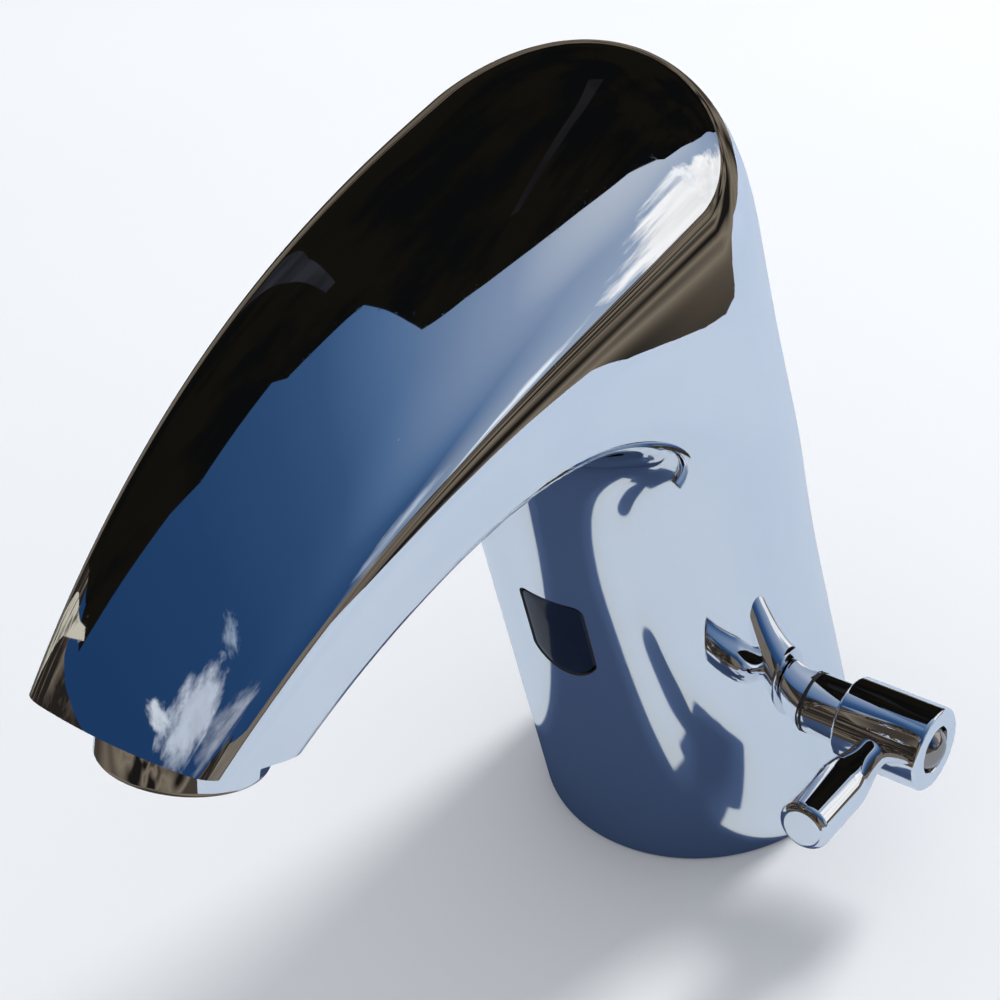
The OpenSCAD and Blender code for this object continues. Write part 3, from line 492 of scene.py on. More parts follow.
chrome = metal("chrome", (0.93, 0.94, 0.96), (0.90, 0.915, 0.94), 0.018, 0.10, 60)
satin = metal("bright_steel", (0.78, 0.79, 0.80), (0.66, 0.67, 0.69), 0.14, 0.3, 90)
steel = metal("turned_steel", (0.62, 0.63, 0.65), (0.50, 0.51, 0.53), 0.24, 0.4, 90, 0.3, (1, 1, 14))
brass = metal("machined_brass", (0.80, 0.60, 0.28), (0.68, 0.49, 0.21), 0.22, 0.4, 90, 0.25, (1, 1, 14))
yoke = metal("zinc_plate", (0.58, 0.60, 0.64), (0.46, 0.48, 0.52), 0.3, 0.5, 120)
rubber = plastic("black_rubber", (0.020, 0.020, 0.022), (0.030, 0.030, 0.031), 0.55, 0.75, 250, 0.2)
coil_black = plastic("coil_black", (0.018, 0.018, 0.020), (0.028, 0.027, 0.027), 0.35, 0.5, 200, 0.1)
white_pom = plastic("white_plastic", (0.80, 0.80, 0.78), (0.74, 0.74, 0.72), 0.35, 0.5)
ivory = plastic("ivory_plastic", (0.78, 0.73, 0.60), (0.72, 0.66, 0.53), 0.35, 0.5)
ceramic = plastic("ceramic", (0.86, 0.86, 0.84), (0.82, 0.82, 0.80), 0.12, 0.22)
grey_nylon = plastic("grey_nylon", (0.16, 0.17, 0.18), (0.13, 0.14, 0.15), 0.4, 0.55)
board_green = plastic("board_green", (0.02, 0.16, 0.06), (0.015, 0.12, 0.05), 0.3, 0.45)
tube_steel = metal("tube_steel", (0.70, 0.71, 0.72), (0.60, 0.61, 0.63), 0.16, 0.3, 90)
# The hub cap's polished metal, darkened to a brownish tint: a painted dark reflection of the surroundings
# that the domed cap mirrors
cap_painted_reflection_metal = metal("cap_painted_dark_reflection", (0.40, 0.355, 0.32), (0.34, 0.30, 0.27), 0.10, 0.16)


def lens_material(name, base, other, rough, coat=1.0, shine=0.5):
    """A smooth, dark or tinted lens with fine specks."""
    mat, tree, shader = material(name)
    vec = coords(tree, 120)
    broad = noise(tree, vec, 0.7, 3.0, 0.5)
    fine = noise(tree, vec, 9.0, 3.0, 0.6)
    tree.links.new(tint(tree, broad, [(0.3, other), (0.7, base)]), shader.inputs["Base Color"])
    tree.links.new(levels(tree, fine, 0.55, 0.8, rough, rough + 0.12), shader.inputs["Roughness"])
    shader.inputs["Specular IOR Level"].default_value = shine
    shader.inputs["Coat Weight"].default_value = coat
    shader.inputs["Coat Roughness"].default_value = 0.03
    return mat


lens = lens_material("sensor_lens", (0.006, 0.009, 0.020), (0.009, 0.014, 0.030), 0.05, 0.0, 0.17)
eye_blue = lens_material("clear_eye", (0.30, 0.36, 0.50), (0.24, 0.30, 0.44), 0.06)
eye_dark = lens_material("dark_eye", (0.010, 0.012, 0.035), (0.015, 0.018, 0.05), 0.06)
led_red = lens_material("red_lamp", (0.50, 0.02, 0.015), (0.38, 0.015, 0.01), 0.08)

# The look of every node of the solids
NODE_LOOKS = {
    "base_gasket": rubber, "base_plate": brass, "base_plate_seal": rubber, "base_screws": satin,
    "block_screws": satin, "port_strainers": steel, "mixing_block": brass, "check_valves": ivory,
    "cartridge_housing": white_pom, "ceramic_fixed_disc": ceramic, "ceramic_moving_disc": ceramic,
    "cartridge_nut": brass, "spindle_seals": rubber, "spindle": steel, "stem_collar": chrome,
    "collar_seal": rubber, "handle_hub": chrome, "lever_arm": chrome, "hub_screw": satin,
    "hub_cap": chrome, "sensor_window": lens, "sensor_gasket": rubber, "sensor_housing": grey_nylon,
    "sensor_board": board_green, "ir_emitter": eye_blue, "ir_receiver": eye_dark, "status_led": led_red,
    "sensor_bracket": satin, "sensor_screws": satin, "mixed_water_tube": tube_steel,
    "solenoid_coil": coil_black, "solenoid_yoke": yoke, "armature_tube": steel,
    "solenoid_plunger": steel, "plunger_spring": satin, "diaphragm": rubber, "valve_body": white_pom,
    "valve_cover": grey_nylon, "valve_screws": satin, "waterway_tube": tube_steel,
    "outlet_adapter": white_pom, "aerator_washer": rubber, "aerator_housing": chrome,
    "aerator_insert": white_pom, "body_casting": chrome,
}
for node_name, look in NODE_LOOKS.items():
    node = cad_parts[node_name]
    if not node.data.materials:
        node.data.materials.append(look)
    for material_slot in node.material_slots:
        material_slot.material = look


def finish_piece(obj, mat, body, node):
    """Gives a piece its material, its body and the node that it stands for."""
    obj.data.materials.clear()
    obj.data.materials.append(mat)
    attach(obj, body)
    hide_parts(node)


# The body casting: its window, its wall and its openings, in millimetres
WINDOW_Z = 58.4
WINDOW_W = 11.8
WINDOW_H = 17.6
WINDOW_TOP_R = 1.8
WINDOW_SIDE_R = 1.5
WINDOW_FOOT_R = 6.5
WALL = 3.2
HOLLOW_FROM = 24
HOLLOW_TO = FAN_END * 0.94
BORE_R = 20.8
BORE_TOP_R = 21.25
BORE_H = BODY_H * 0.87
PLATE_Y = axis_y(7.5)
WELL_R = 22.4
WELL_TOP = 13.0
GROOVE_R = (24.4, 26.0)
GROOVE_H = 1.4
COLLAR_R = 5.05
SEAT_R = 5.3
SEAT_X = 25.8
THREAD_R = 10.1
THREAD_H = 5.4
ADAPTER_R = 7.9
ADAPTER_H = 9

# Where cutters start and end outside the casting
UNDER = -1
PAST_SIDE = 54
WINDOW_CUT = (9, 30)

# A corner belongs to the skin when its face looks the surface's way and it lies this near to it
SKIN_COS = 0.8
SKIN_GAP = 0.06


def window_outline(inset):
    """The window's outline: round corners above, and a large round foot below."""
    w = WINDOW_W / 2 - inset
    h = WINDOW_H / 2 - inset
    top, side = WINDOW_TOP_R, WINDOW_SIDE_R
    foot = WINDOW_FOOT_R - inset
    cy = -h + foot
    cx = w - side
    drop = math.sqrt((foot - side) ** 2 - cx * cx)
    turn = math.degrees(math.atan2(-drop, cx))
    return (
        arc(w - top, h - top, top, 0, 90, 12)
        + arc(-w + top, h - top, top, 90, 180, 12)
        + arc(-cx, cy - drop, side, 180, 180 - turn, 12)
        + arc(0, cy, foot, 180 - turn, 360 + turn, 28)
        + arc(cx, cy - drop, side, turn, 0, 12)
    )


WINDOW = at(LEANED, 0, 0, WINDOW_Z) @ Matrix.Rotation(math.pi / 2, 4, "X")


def build_body():
    """The casting, with its hollow and every opening that the solids have."""
    body = loft("tap_body", body_rings(22, 170, (22, 40, 52)))
    hollow = loft("hollow", body_rings(0, 24, (6, 8, 10), WALL, HOLLOW_FROM, HOLLOW_TO))
    bore = cyl("bore", LEANED, BORE_R, BORE_TOP_R, 0, BORE_H)
    cut(bore, [prism("floor", [(-60, -60), (60, -60), (60, 60), (-60, 60)], UPRIGHT, -40, WELL_TOP - 1)])
    well = cyl("well", at(UPRIGHT, 0, PLATE_Y), WELL_R, WELL_R, UNDER, WELL_TOP, 128)
    groove = tube("groove", UPRIGHT, *GROOVE_R, UNDER, GROOVE_H)
    collar = cyl("collar", ALONG_X, COLLAR_R, COLLAR_R, 0, PAST_SIDE)
    seat = cyl("seat", ALONG_X, SEAT_R, SEAT_R, SEAT_X, PAST_SIDE)
    window = prism("window", window_outline(0), WINDOW, *WINDOW_CUT)
    thread = cyl("thread", OUTLET, THREAD_R, THREAD_R, UNDER, THREAD_H)
    adapter = cyl("adapter", OUTLET, ADAPTER_R, ADAPTER_R, UNDER, ADAPTER_H)
    cut(body, [well, bore, hollow, groove, collar, seat, window, thread, adapter])
    smooth_skin(body)
    return body


def mesh_values(items, name, width, kind=float):
    """An attribute of all items of a mesh, as rows of the given width."""
    values = np.empty(len(items) * width, kind)
    items.foreach_get(name, values)
    return values.reshape(-1, width) if width > 1 else values


def smooth_skin(obj):
    """Gives the skin the normals of the true surface, and the cut faces their own."""
    mesh = obj.data
    sharp_edges(obj, 30)
    own = mesh_values(mesh.corner_normals, "vector", 3)
    verts = mesh_values(mesh.vertices, "co", 3) / MM
    corner = mesh_values(mesh.loops, "vertex_index", 1, np.int32)
    normals = mesh_values(mesh.polygons, "normal", 3)
    corners = mesh_values(mesh.polygons, "loop_total", 1, np.int32)
    face_of = np.repeat(np.arange(len(normals)), corners)
    true = gradient(verts)[corner]
    same = (true * normals[face_of]).sum(1) > SKIN_COS
    near = np.abs(outside(verts))[corner] < SKIN_GAP
    above = verts[corner][:, 2] > 0.001
    # A face is skin only where all its corners are
    bad = np.zeros(len(normals), bool)
    np.logical_or.at(bad, face_of, ~(same & near & above))
    skin = ~bad[face_of]
    own[skin] = true[skin]
    mesh.normals_split_custom_set([tuple(v) for v in own])


finish_piece(build_body(), chrome, "body", "body_casting")


# Lever group, in millimetres
HUB_EDGE = 0.7
HUB_BORE = 3.52
HUB_BORE_FROM = 5.0
RECESS_R = 3.9
RECESS_H = 1.8
SCREW_R = 1.65
PIN_R = 2.1
CAP_R = 3.75
CAP_TOP = 1.3
CAP_RIM = -1.2
NECK_R = 2.8
THICK_R = 4.25
LEVER_LEN = 27.3
LEVER_EDGE = 1.25
NOTCH = [(-0.45, 2.3), (0.45, 2.3), (0.45, 4.5), (-0.45, 4.5)]
HUB_END = at(ALONG_X, 0, 0, HUB_X + HUB_LEN)


def build_hub():
    """The round hub, with its rounded edges, the cap's recess, the shaft's bore and the lever's pin hole."""
    profile = (
        [(HUB_BORE, 0.0), (HUB_R - HUB_EDGE, 0.0)]
        + arc(HUB_R - HUB_EDGE, HUB_EDGE, HUB_EDGE, -90, 0, 10)
        + arc(HUB_R - HUB_EDGE, HUB_LEN - HUB_EDGE, HUB_EDGE, 0, 90, 10)
        + [(RECESS_R + 0.15, HUB_LEN), (RECESS_R, HUB_LEN - 0.15), (RECESS_R, HUB_LEN - RECESS_H)]
        + [(SCREW_R, HUB_LEN - RECESS_H), (SCREW_R, HUB_BORE_FROM), (HUB_BORE, HUB_BORE_FROM)]
    )
    hub = lathe("lever_hub", profile, at(ALONG_X, 0, 0, HUB_X), 160, closed=True)
    cut(hub, [cyl("pin_hole", LEVER, PIN_R, PIN_R, 3.0, 12, 64)])
    sharp_edges(hub, 30)
    finish_piece(hub, chrome, "lever", "handle_hub")


def build_cap():
    """The domed cap in the hub's end, with a small notch in its rim."""
    rise = CAP_TOP - CAP_RIM
    sphere = (CAP_R * CAP_R + rise ** 2) / (2 * rise)
    spread = math.asin(CAP_R / sphere)
    dome = [
        (sphere * math.sin(spread * k / 24), CAP_TOP - sphere + sphere * math.cos(spread * k / 24))
        for k in range(24, 0, -1)
    ]
    cap = lathe("lever_cap", [(0, -RECESS_H), (CAP_R, -RECESS_H)] + dome + [(0, CAP_TOP)], HUB_END, 128)
    cut(cap, [prism("notch", NOTCH, HUB_END, -0.6, 1.5)])
    sharp_edges(cap, 30)
    # The cap's darker metal carries a painted dark reflection
    finish_piece(cap, cap_painted_reflection_metal, "lever", "hub_cap")


def build_lever():
    """The lever: a thin neck at the hub that swells to a thick free end."""
    profile = [(0, 3.0), (PIN_R, 3.0), (PIN_R, 6.1), (NECK_R, 6.1)]
    for t in np.linspace(0, 1, 41):
        swell = t * t * (3 - 2 * t)
        profile.append((NECK_R + (THICK_R - NECK_R) * swell, LEVER_LEN * (0.26 + 0.34 * t)))
    profile += arc(THICK_R - LEVER_EDGE, LEVER_LEN - LEVER_EDGE, LEVER_EDGE, 0, 90, 16)
    profile += [(2.2, LEVER_LEN - 0.01), (0, LEVER_LEN)]
    lever = lathe("lever_stem", profile, LEVER, 128)
    # The hub's round fits the lever's neck, apart from the pin
    core = cyl("core", at(ALONG_X, 0, 0, HUB_X), HUB_R - 0.02, HUB_R - 0.02, 0, HUB_LEN, 160)
    cut(core, [cyl("pin", LEVER, PIN_R, PIN_R, 2.9, 12, 128)])
    cut(lever, [core])
    sharp_edges(lever, 30)
    finish_piece(lever, chrome, "lever", "lever_arm")


build_hub()
build_cap()
build_lever()


def build_collar():
    """The short collar between body and hub, with its rounded free edge."""
    r, bore, start, end, edge = 5.03, 3.56, 13.8, 32.5, 0.5
    profile = [(bore, start), (r, start), (r, end - edge)] + arc(r - edge, end - edge, edge, 0, 90, 8)
    collar = lathe("collar_sleeve", profile + [(bore, end)], ALONG_X, 128, closed=True)
    finish_piece(collar, chrome, "body", "stem_collar")


build_collar()


def build_seal():
    """The dark line round the collar where it leaves the body."""
    profile = [(5.04, 26.0), (5.15, 26.0), (5.15, 26.34), (5.1, 26.4), (5.04, 26.4)]
    seal = lathe("seal_ring", profile, ALONG_X, 128, closed=True)
    finish_piece(seal, rubber, "body", "collar_seal")


build_seal()


def build_aerator():
    """The aerator's ring: a rounded lip below, and the part that screws into the spout."""
    r, bore, screwed, drop, up, lip = 11.2, 8.8, 10.05, 7.0, 4.4, 0.9
    profile = (
        [(bore, 0.3 - drop), (bore + 0.3, -drop)]
        + arc(r - lip, lip - drop, lip, -90, 0, 10)
        + [(r, -0.35), (r - 0.25, 0.0), (screwed, 0.0), (screwed, up), (bore, up)]
    )
    aerator = lathe("aerator_ring", profile, OUTLET, 160, closed=True)
    finish_piece(aerator, chrome, "body", "aerator_housing")


build_aerator()


def build_window():
    """A lens that follows the column, with a softly rounded edge."""
    slope = (BASE_R - TOP_R) / BODY_H
    lo, hi = WINDOW_Z - WINDOW_H, WINDOW_Z + WINDOW_H
    gap, edge, sunk, depth = 0.4, 0.45, 0.1, 2.1

    def front_r(z):
        upright = BASE_R - slope * math.cos(LEAN) * z
        return math.cos(LEAN) * upright / (1 - slope * math.sin(LEAN) * math.cos(LEAN))

    def place(x, z, inset):
        f = (z - lo) / (hi - lo)
        r = front_r(lo) + (front_r(hi) - front_r(lo)) * f - inset
        return LEANED @ Vector((x, -math.sqrt(r * r - x * x), z))

    rings = [[place(x, z + WINDOW_Z, depth) for x, z in window_outline(gap)]]
    for k in range(7):
        a = math.radians(90 * k / 6)
        inset = gap + edge * (1 - math.cos(a)) * 0.6
        rings.append([
            place(x, z + WINDOW_Z, sunk + edge * (1 - math.sin(a))) for x, z in window_outline(inset)])
    for s in (0.85, 0.7, 0.55, 0.4, 0.25, 0.1):
        rings.append([
            place(x * s, z * s + WINDOW_Z, sunk) for x, z in window_outline(gap + edge * 0.6)])
    window = loft("window_lens", rings)
    sharp_edges(window, 40)
    finish_piece(window, lens, "body", "sensor_window")


build_window()


# Floor, surroundings and light, in metres. Directions are (azimuth, elevation) in degrees, azimuth 0 in
# front and 90 on the lever's side, as seen from the middle of the spout.
MIDDLE = Vector((0.01, -0.03, 0.11))
SUN = (167, 41.5)

# How far away the surroundings stand: what covers another is nearer
DOME_R = 30.0
FRONT_R = 27.2
GROUND_R = 27.0
RIM_R = 26.8
ROOF_R = 26.0
NEAR_R = 25.5
CLOUD_R = 25.0
PATCH_STEP = 3
LOW = -55

# Heights of the level plates, in metres: the deck just above the floor, the bowl below both
FLOOR_Z = -0.0003
DECK_Z = -0.0002
BOWL_Z = -0.004


def direction(az, el, r=1.0):
    """The point at distance r in a direction."""
    a, e = math.radians(az), math.radians(el)
    return Vector((r * math.cos(e) * math.sin(a), -r * math.cos(e) * math.cos(a), r * math.sin(e)))


def emission(name, build):
    """A material that shines by itself; build returns its colour and, where it has holes, its cover."""
    mat = bpy.data.materials.new(name)
    mat.use_nodes = True
    tree = mat.node_tree
    tree.nodes.clear()
    out = tree.nodes.new("ShaderNodeOutputMaterial")
    emit = tree.nodes.new("ShaderNodeEmission")
    color, cover = build(tree)
    tree.links.new(color, emit.inputs["Color"])
    if cover is None:
        tree.links.new(emit.outputs["Emission"], out.inputs["Surface"])
        return mat
    clear = tree.nodes.new("ShaderNodeBsdfTransparent")
    mix = tree.nodes.new("ShaderNodeMixShader")
    tree.links.new(cover, mix.inputs[0])
    tree.links.new(clear.outputs["BSDF"], mix.inputs[1])
    tree.links.new(emit.outputs["Emission"], mix.inputs[2])
    tree.links.new(mix.outputs["Shader"], out.inputs["Surface"])
    return mat


def calc(tree, operation, a, b):
    """Arithmetic on sockets and numbers."""
    node = tree.nodes.new("ShaderNodeMath")
    node.operation = operation
    for socket, value in zip(node.inputs, (a, b)):
        if isinstance(value, (int, float)):
            socket.default_value = value
        else:
            tree.links.new(value, socket)
    return node.outputs["Value"]


def blend(tree, fac, a, b):
    """Colour a where fac is 0 and colour b where it is 1."""
    node = tree.nodes.new("ShaderNodeMix")
    node.data_type = "RGBA"
    tree.links.new(fac, node.inputs["Factor"])
    for name, value in (("A", a), ("B", b)):
        if isinstance(value, tuple):
            node.inputs[name].default_value = (*value, 1)
        else:
            tree.links.new(value, node.inputs[name])
    return node.outputs["Result"]


def glossy_only(obj):
    """Part of the surroundings: polished metal shows it, and nothing else sees it."""
    obj.visible_camera = False
    obj.visible_diffuse = False
    obj.visible_shadow = False
    obj.visible_transmission = False


def sky_patch(name, outline, r, mat, hub=None, layers=6):
    """A patch of the sky inside an outline of directions, filled from its hub."""
    pts = []
    for k, (az, el) in enumerate(outline):
        a, b = direction(az, el), direction(*outline[(k + 1) % len(outline)])
        steps = max(1, round(math.degrees(a.angle(b)) / PATCH_STEP))
        pts += [a.lerp(b, f / steps).normalized() for f in range(steps)]
    n = len(pts)
    hub = direction(*hub) if hub else sum(pts, Vector()).normalized()
    verts = [hub * r] + [hub.lerp(p, s / layers).normalized() * r for s in range(1, layers + 1) for p in pts]
    faces = [(0, 1 + j, 1 + (j + 1) % n) for j in range(n)]
    for s in range(layers - 1):
        a, b = 1 + s * n, 1 + (s + 1) * n
        faces += [(a + j, b + j, b + (j + 1) % n, a + (j + 1) % n) for j in range(n)]
    patch = new_object(name, verts, faces)
    patch.location = MIDDLE
    patch.data.materials.append(mat)
    glossy_only(patch)


def plate(name, half, z):
    """A level square."""
    obj = new_object(name, [(-half, -half, 0), (half, -half, 0), (half, half, 0), (-half, half, 0)],
                     [(0, 1, 2, 3)], False)
    obj.location.z = z
    return obj


def disc(name, middle, edge):
    """A flat plate from its middle to the points of its edge."""
    n = len(edge)
    verts = [(*point, 0.0) for point in [middle] + edge]
    return new_object(name, verts, [(0, 1 + j, 1 + (j + 1) % n) for j in range(n)], False)


def add_floor():
    """The plain pale floor, which the camera sees and the chrome doesn't mirror."""
    floor = plate("floor", 6, FLOOR_Z)
    floor.visible_glossy = False
    mat, tree, shader = material("floor_pale")
    soft = noise(tree, coords(tree, 1), 3.0, 2.0, 0.5)
    color = tint(tree, soft, [(0.3, (0.80, 0.815, 0.84)), (0.7, (0.83, 0.845, 0.87))])
    tree.links.new(color, shader.inputs["Base Color"])
    shader.inputs["Roughness"].default_value = 0.6
    floor.data.materials.append(mat)


# The edge of the pale deck that the polished metal shows, in metres
DECK_EDGE = [
    (0.90, -0.03), (0.40, -0.010), (0.37, -0.006), (0.312, 0.009), (0.282, 0.035), (0.253, 0.070),
    (0.218, 0.095), (0.194, 0.091), (0.165, 0.085), (0.148, 0.087), (0.135, 0.091), (0.124, 0.098),
    (0.119, 0.106), (0.125, 0.118), (0.150, 0.155), (0.178, 0.225), (0.175, 0.300), (0.08, 0.34),
    (-0.02, 0.32), (-0.10, 0.23), (-0.138, 0.19), (-0.203, 0.117), (-0.234, 0.025), (-0.24, -0.06),
    (-0.10, -0.092), (0.04, -0.094), (0.085, -0.12), (0.3, -0.35), (0.9, -0.6),
]


def add_deck():
    """The pale blue deck under the tap, with the tap's own shadow on it from a sun of its own."""
    deck = disc("deck", (0.0, -0.02), DECK_EDGE)
    deck.location.z = DECK_Z
    mat, tree, shader = material("deck_blue")
    cloudy = noise(tree, coords(tree, 1), 9.0, 3.0, 0.5)
    color = tint(tree, cloudy, [(0.3, (0.070, 0.113, 0.222)), (0.7, (0.078, 0.121, 0.232))])
    tree.links.new(color, shader.inputs["Base Color"])
    shader.inputs["Roughness"].default_value = 0.9
    shader.inputs["Specular IOR Level"].default_value = 0.0
    deck.data.materials.append(mat)
    glossy_only(deck)

    data = bpy.data.lights.new("deck_sun", "SUN")
    data.energy = 26.7
    data.color = (1.0, 0.66, 0.305)
    data.angle = math.radians(1.2)
    sun = bpy.data.objects.new("deck_sun", data)
    bpy.context.scene.collection.objects.link(sun)
    sun.rotation_euler = direction(*SUN).to_track_quat("Z", "Y").to_euler()
    sun.visible_glossy = False
    lit = bpy.data.collections.new("deck_only")
    lit.objects.link(deck)
    sun.light_linking.receiver_collection = lit


def add_bowl():
    """The dark and brown things below the edge of the deck in front, which the aerator's ring shows."""
    bowl = plate("bowl", 2, BOWL_Z)

    def build(tree):
        streaks = noise(tree, squeezed(tree, coords(tree, 1), (5, 2, 1), 20), 1.0, 1.0, 0.4)
        return tint(tree, streaks, [
            (0.40, (0.010, 0.009, 0.008)), (0.47, (0.10, 0.082, 0.062)), (0.56, (0.20, 0.165, 0.125)),
            (0.66, (0.055, 0.045, 0.036))]), None

    bowl.data.materials.append(emission("bowl_brown", build))
    glossy_only(bowl)


def add_dome():
    """The sky that polished metal shows: paler round the sun and low on the right."""
    rows, cols, lowest, highest = 60, 96, -60, 89.9
    verts, faces = [], []
    for i in range(rows + 1):
        el = min(lowest + 150 * i / rows, highest)
        verts += [direction(360 * j / cols, el, DOME_R) for j in range(cols)]
    for i in range(rows):
        for j in range(cols):
            m = (j + 1) % cols
            faces.append((i * cols + j, i * cols + m, (i + 1) * cols + m, (i + 1) * cols + j))
    dome = new_object("sky_dome", verts, faces)
    dome.location = MIDDLE

    def towards(tree, way, az, el):
        """1 straight towards a direction, and less away from it."""
        node = tree.nodes.new("ShaderNodeVectorMath")
        node.operation = "DOT_PRODUCT"
        tree.links.new(way, node.inputs[0])
        node.inputs[1].default_value = direction(az, el)
        return node.outputs["Value"]

    def build(tree):
        norm = tree.nodes.new("ShaderNodeVectorMath")
        norm.operation = "NORMALIZE"
        tree.links.new(own_coords(tree), norm.inputs[0])
        way = norm.outputs["Vector"]
        sky = tint(tree, towards(tree, way, *SUN), [
            (0.0, (0.012, 0.043, 0.125)), (0.25, (0.017, 0.053, 0.145)), (0.42, (0.027, 0.073, 0.173)),
            (0.52, (0.036, 0.089, 0.203)), (0.64, (0.078, 0.153, 0.298)), (0.88, (0.225, 0.298, 0.437)),
            (1.0, (0.50, 0.56, 0.64))])
        haze = levels(tree, towards(tree, way, 134, -6), 0.66, 0.97, 0.0, 0.9)
        return blend(tree, haze, sky, (0.34, 0.42, 0.55)), None

    dome.data.materials.append(emission("sky", build))
    glossy_only(dome)


def add_cloud(name, az, el, wide, high, roll, light, soft, seed, grain):
    """A cloud as a round plate across the line of sight, torn at its edges by noise."""
    steps = 24
    turns = [2 * math.pi * k / steps for k in range(steps)]
    cloud = disc(name, (0, 0), [(math.cos(t), math.sin(t)) for t in turns])
    turn = direction(az, el).to_track_quat("Z", "Y").to_matrix().to_4x4()
    half_wide, half_high = (CLOUD_R * math.tan(math.radians(v / 2)) for v in (wide, high))
    size = Matrix.Diagonal((half_wide, half_high, 1, 1))
    place = Matrix.Translation(MIDDLE + direction(az, el, CLOUD_R))
    cloud.matrix_world = place @ turn @ Matrix.Rotation(math.radians(roll), 4, "Z") @ size

    def build(tree):
        where = own_coords(tree)
        length = tree.nodes.new("ShaderNodeVectorMath")
        length.operation = "LENGTH"
        tree.links.new(where, length.inputs[0])
        puffs = noise(tree, squeezed(tree, where, (1, 1, 1), 0, (seed, seed, 0)), grain, 6.0, 0.6)
        body = calc(tree, "SUBTRACT", puffs, calc(tree, "MULTIPLY", length.outputs["Value"], 0.62))
        cover = levels(tree, body, -0.02, soft - 0.02, 0.0, 1.0)
        shade = tint(tree, puffs, [(0.35, tuple(0.78 * v for v in light)), (0.6, light)])
        return shade, cover

    cloud.data.materials.append(emission(name, build))
    glossy_only(cloud)


def flat_glow(name, color, other, scale, lo=0.4, hi=0.6):
    """A glow of two colours, mixed by noise."""
    def build(tree):
        vec = squeezed(tree, coords(tree, 1), scale)
        return tint(tree, noise(tree, vec, 1.0, 4.0, 0.6), [(lo, color), (hi, other)]), None

    return emission(name, build)


# Outlines of the surroundings, as directions. The roof is the dark shape that the crown mirrors.
ROOF_EDGE = [
    (147.5, 40.5), (149, 43.8), (152, 47), (156, 50.5), (163, 57.5), (170.8, 62.7), (181, 66.5),
    (192.6, 68.8), (205, 70), (218, 70), (230, 69.5), (239.5, 68.2), (243, 64.5), (246.5, 58.5),
    (249, 53), (252, 52.2), (263, 49.7), (263.7, 47), (270, 46.2), (278, 44.7), (281, 41.5),
    (287, 37.5), (293, 33), (286, 31), (280, 25), (274, 17), (270, 10), (266, 3), (262, -12),
    (258, LOW), (190, LOW), (184, -17), (171, 0), (167, 8), (162, 15), (158, 22), (154, 31), (150, 37),
]
ROOF_STREAK = [(247, 0), (249.5, 25), (250.5, 42), (249, 42), (247, 25), (243, 0)]
ROOF_POST = [(208, 38), (211, 50), (212, 60), (215, 60), (214.5, 50), (213, 38)]
GROUND_EDGE = [
    (48, 40), (54, 33), (60, 25), (66, 17.5), (72, 13), (78, 10), (84, 8), (90, 5), (96, 1.5),
    (102, -2), (108, -5), (114, -7.5), (120, -10), (126, -12.5), (132, -15), (136, -16), (150, -15),
    (165, -16), (192, -18), (192, LOW), (40, LOW), (20, -30), (30, 15),
]
GROUND_RIM = GROUND_EDGE[8:17]
FRONT_EDGE = [
    (-102, -12), (-94, 3), (-90, 10), (-86, 17), (-80, 25), (-74, 29), (-70, 30), (-64, 32),
    (-58, 34.5), (-52, 37), (-45, 40), (-38, 42.5), (-30, 45), (-15, 47.5), (0, 50), (15, 51.5),
    (30, 49), (45, 43.5), (54, 34), (60, 26), (60, LOW), (0, LOW), (-100, LOW),
]
WALL_EDGE = [
    (262, -12), (268, 1), (272, 10), (276, 17), (281, 24), (286, 29.5), (290, 33), (292, 33.5),
    (288.5, 30), (284.5, 24.5), (280.5, 17), (277, 9), (273, 0), (270, -12),
]

# Clouds: direction, width, height and roll in degrees, colour, softness, seed and grain
CLOUDS = {
    "cloud_bright": (141, 7, 38, 50, 12, (1.0, 1.0, 1.0), 0.12, 0.3, 1.3),
    "cloud_back": (154, -5, 34, 26, 0, (1.0, 1.0, 1.0), 0.16, 9.4, 1.5),
    "cloud_high": (139, 23, 14, 30, -8, (0.92, 0.95, 0.98), 0.25, 1.7, 2.0),
    "cloud_low": (113, 1, 20, 9, 28, (0.85, 0.91, 0.98), 0.35, 2.9, 1.8),
    "cloud_side": (96, 12, 14, 30, 24, (0.45, 0.53, 0.65), 0.5, 4.1, 1.6),
    "cloud_front": (323.5, 51.8, 12, 13, -35, (0.50, 0.56, 0.66), 0.25, 5.3, 1.7),
    "cloud_wisp": (316, 58, 8, 2.5, 12, (0.30, 0.38, 0.50), 0.5, 6.7, 2.2),
    "cloud_edge": (316, 47, 9, 2.6, 24, (0.60, 0.66, 0.74), 0.3, 7.1, 1.6),
    "cloud_veil": (3, 57, 56, 11, 0, (0.34, 0.38, 0.46), 0.45, 8.2, 1.8),
}


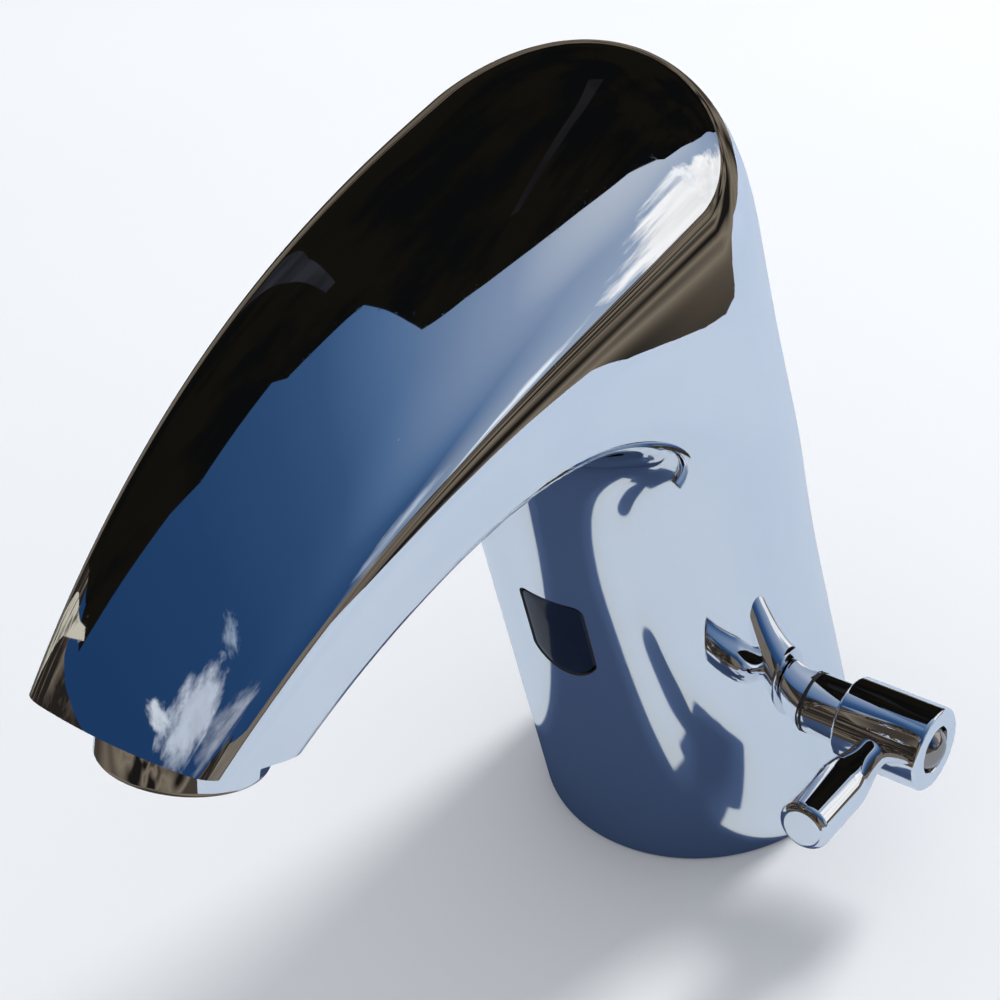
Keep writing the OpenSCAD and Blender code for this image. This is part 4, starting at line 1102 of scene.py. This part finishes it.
def add_surroundings():
    """The dark roof behind, its faint streaks, the brown ground and the patches low on the left."""
    dark = flat_glow(
        "roof_dark", (0.0034, 0.0036, 0.0038), (0.0065, 0.0058, 0.0040), (0.12, 0.12, 0.08), 0.45, 0.55)
    sky_patch("dark_roof", ROOF_EDGE, ROOF_R, dark, (222, 30), 8)
    faint = flat_glow("roof_streak", (0.014, 0.015, 0.018), (0.024, 0.026, 0.032), (0.2, 0.2, 0.2))
    sky_patch("roof_streak", ROOF_STREAK, NEAR_R, faint)
    fainter = flat_glow("roof_post", (0.008, 0.008, 0.009), (0.013, 0.013, 0.014), (0.2, 0.2, 0.2))
    sky_patch("roof_post", ROOF_POST, NEAR_R, fainter)

    def ground(tree):
        waves = noise(tree, squeezed(tree, coords(tree, 1), (0.16, 0.16, 0.7)), 3.0, 6.0, 0.62)
        return tint(tree, waves, [
            (0.34, (0.070, 0.058, 0.048)), (0.42, (0.150, 0.128, 0.104)), (0.55, (0.180, 0.156, 0.128)),
            (0.64, (0.25, 0.225, 0.19))]), None

    sky_patch("brown_ground", GROUND_EDGE, GROUND_R, emission("ground_brown", ground), (105, -30), 8)
    brown = flat_glow("front_brown", (0.018, 0.015, 0.013), (0.16, 0.13, 0.10), (0.25, 0.25, 0.5), 0.50, 0.68)
    sky_patch("front_ground", FRONT_EDGE, FRONT_R, brown, (-8, -5), 8)
    rim = [(az, el + 0.35) for az, el in GROUND_RIM] + [(az, el - 0.5) for az, el in reversed(GROUND_RIM)]
    rim_dark = flat_glow("rim_dark", (0.02, 0.02, 0.022), (0.035, 0.034, 0.034), (0.2, 0.2, 0.2))
    sky_patch("ground_rim", rim, RIM_R, rim_dark, None, 1)
    beige = flat_glow("wall_beige", (0.05, 0.045, 0.035), (0.55, 0.52, 0.43), (0.9, 0.9, 0.6), 0.38, 0.5)
    sky_patch("left_wall", WALL_EDGE, NEAR_R, beige)
    for name, values in CLOUDS.items():
        add_cloud(name, *values)


def area_light(name, location, target, size, power, color):
    """A round soft light that the chrome doesn't mirror."""
    data = bpy.data.lights.new(name, "AREA")
    data.shape = "DISK"
    data.size = size
    data.energy = power
    data.color = color
    obj = bpy.data.objects.new(name, data)
    bpy.context.scene.collection.objects.link(obj)
    obj.location = location
    way = Vector(target) - Vector(location)
    obj.rotation_euler = way.to_track_quat("-Z", "Y").to_euler()
    obj.visible_glossy = False


def add_world():
    """The pale studio round the floor."""
    world = bpy.data.worlds.new("studio")
    bpy.context.scene.world = world
    world.use_nodes = True
    back = world.node_tree.nodes["Background"]
    back.inputs["Color"].default_value = (0.95, 0.97, 1.0, 1)
    back.inputs["Strength"].default_value = 0.75


add_floor()
add_deck()
add_bowl()
add_dome()
add_surroundings()
add_world()
area_light("key", direction(*SUN, 1.8), target=(0, -0.04, 0.05), size=0.5, power=22, color=(1.0, 0.98, 0.95))

bpy.context.scene.view_settings.view_transform = "Standard"
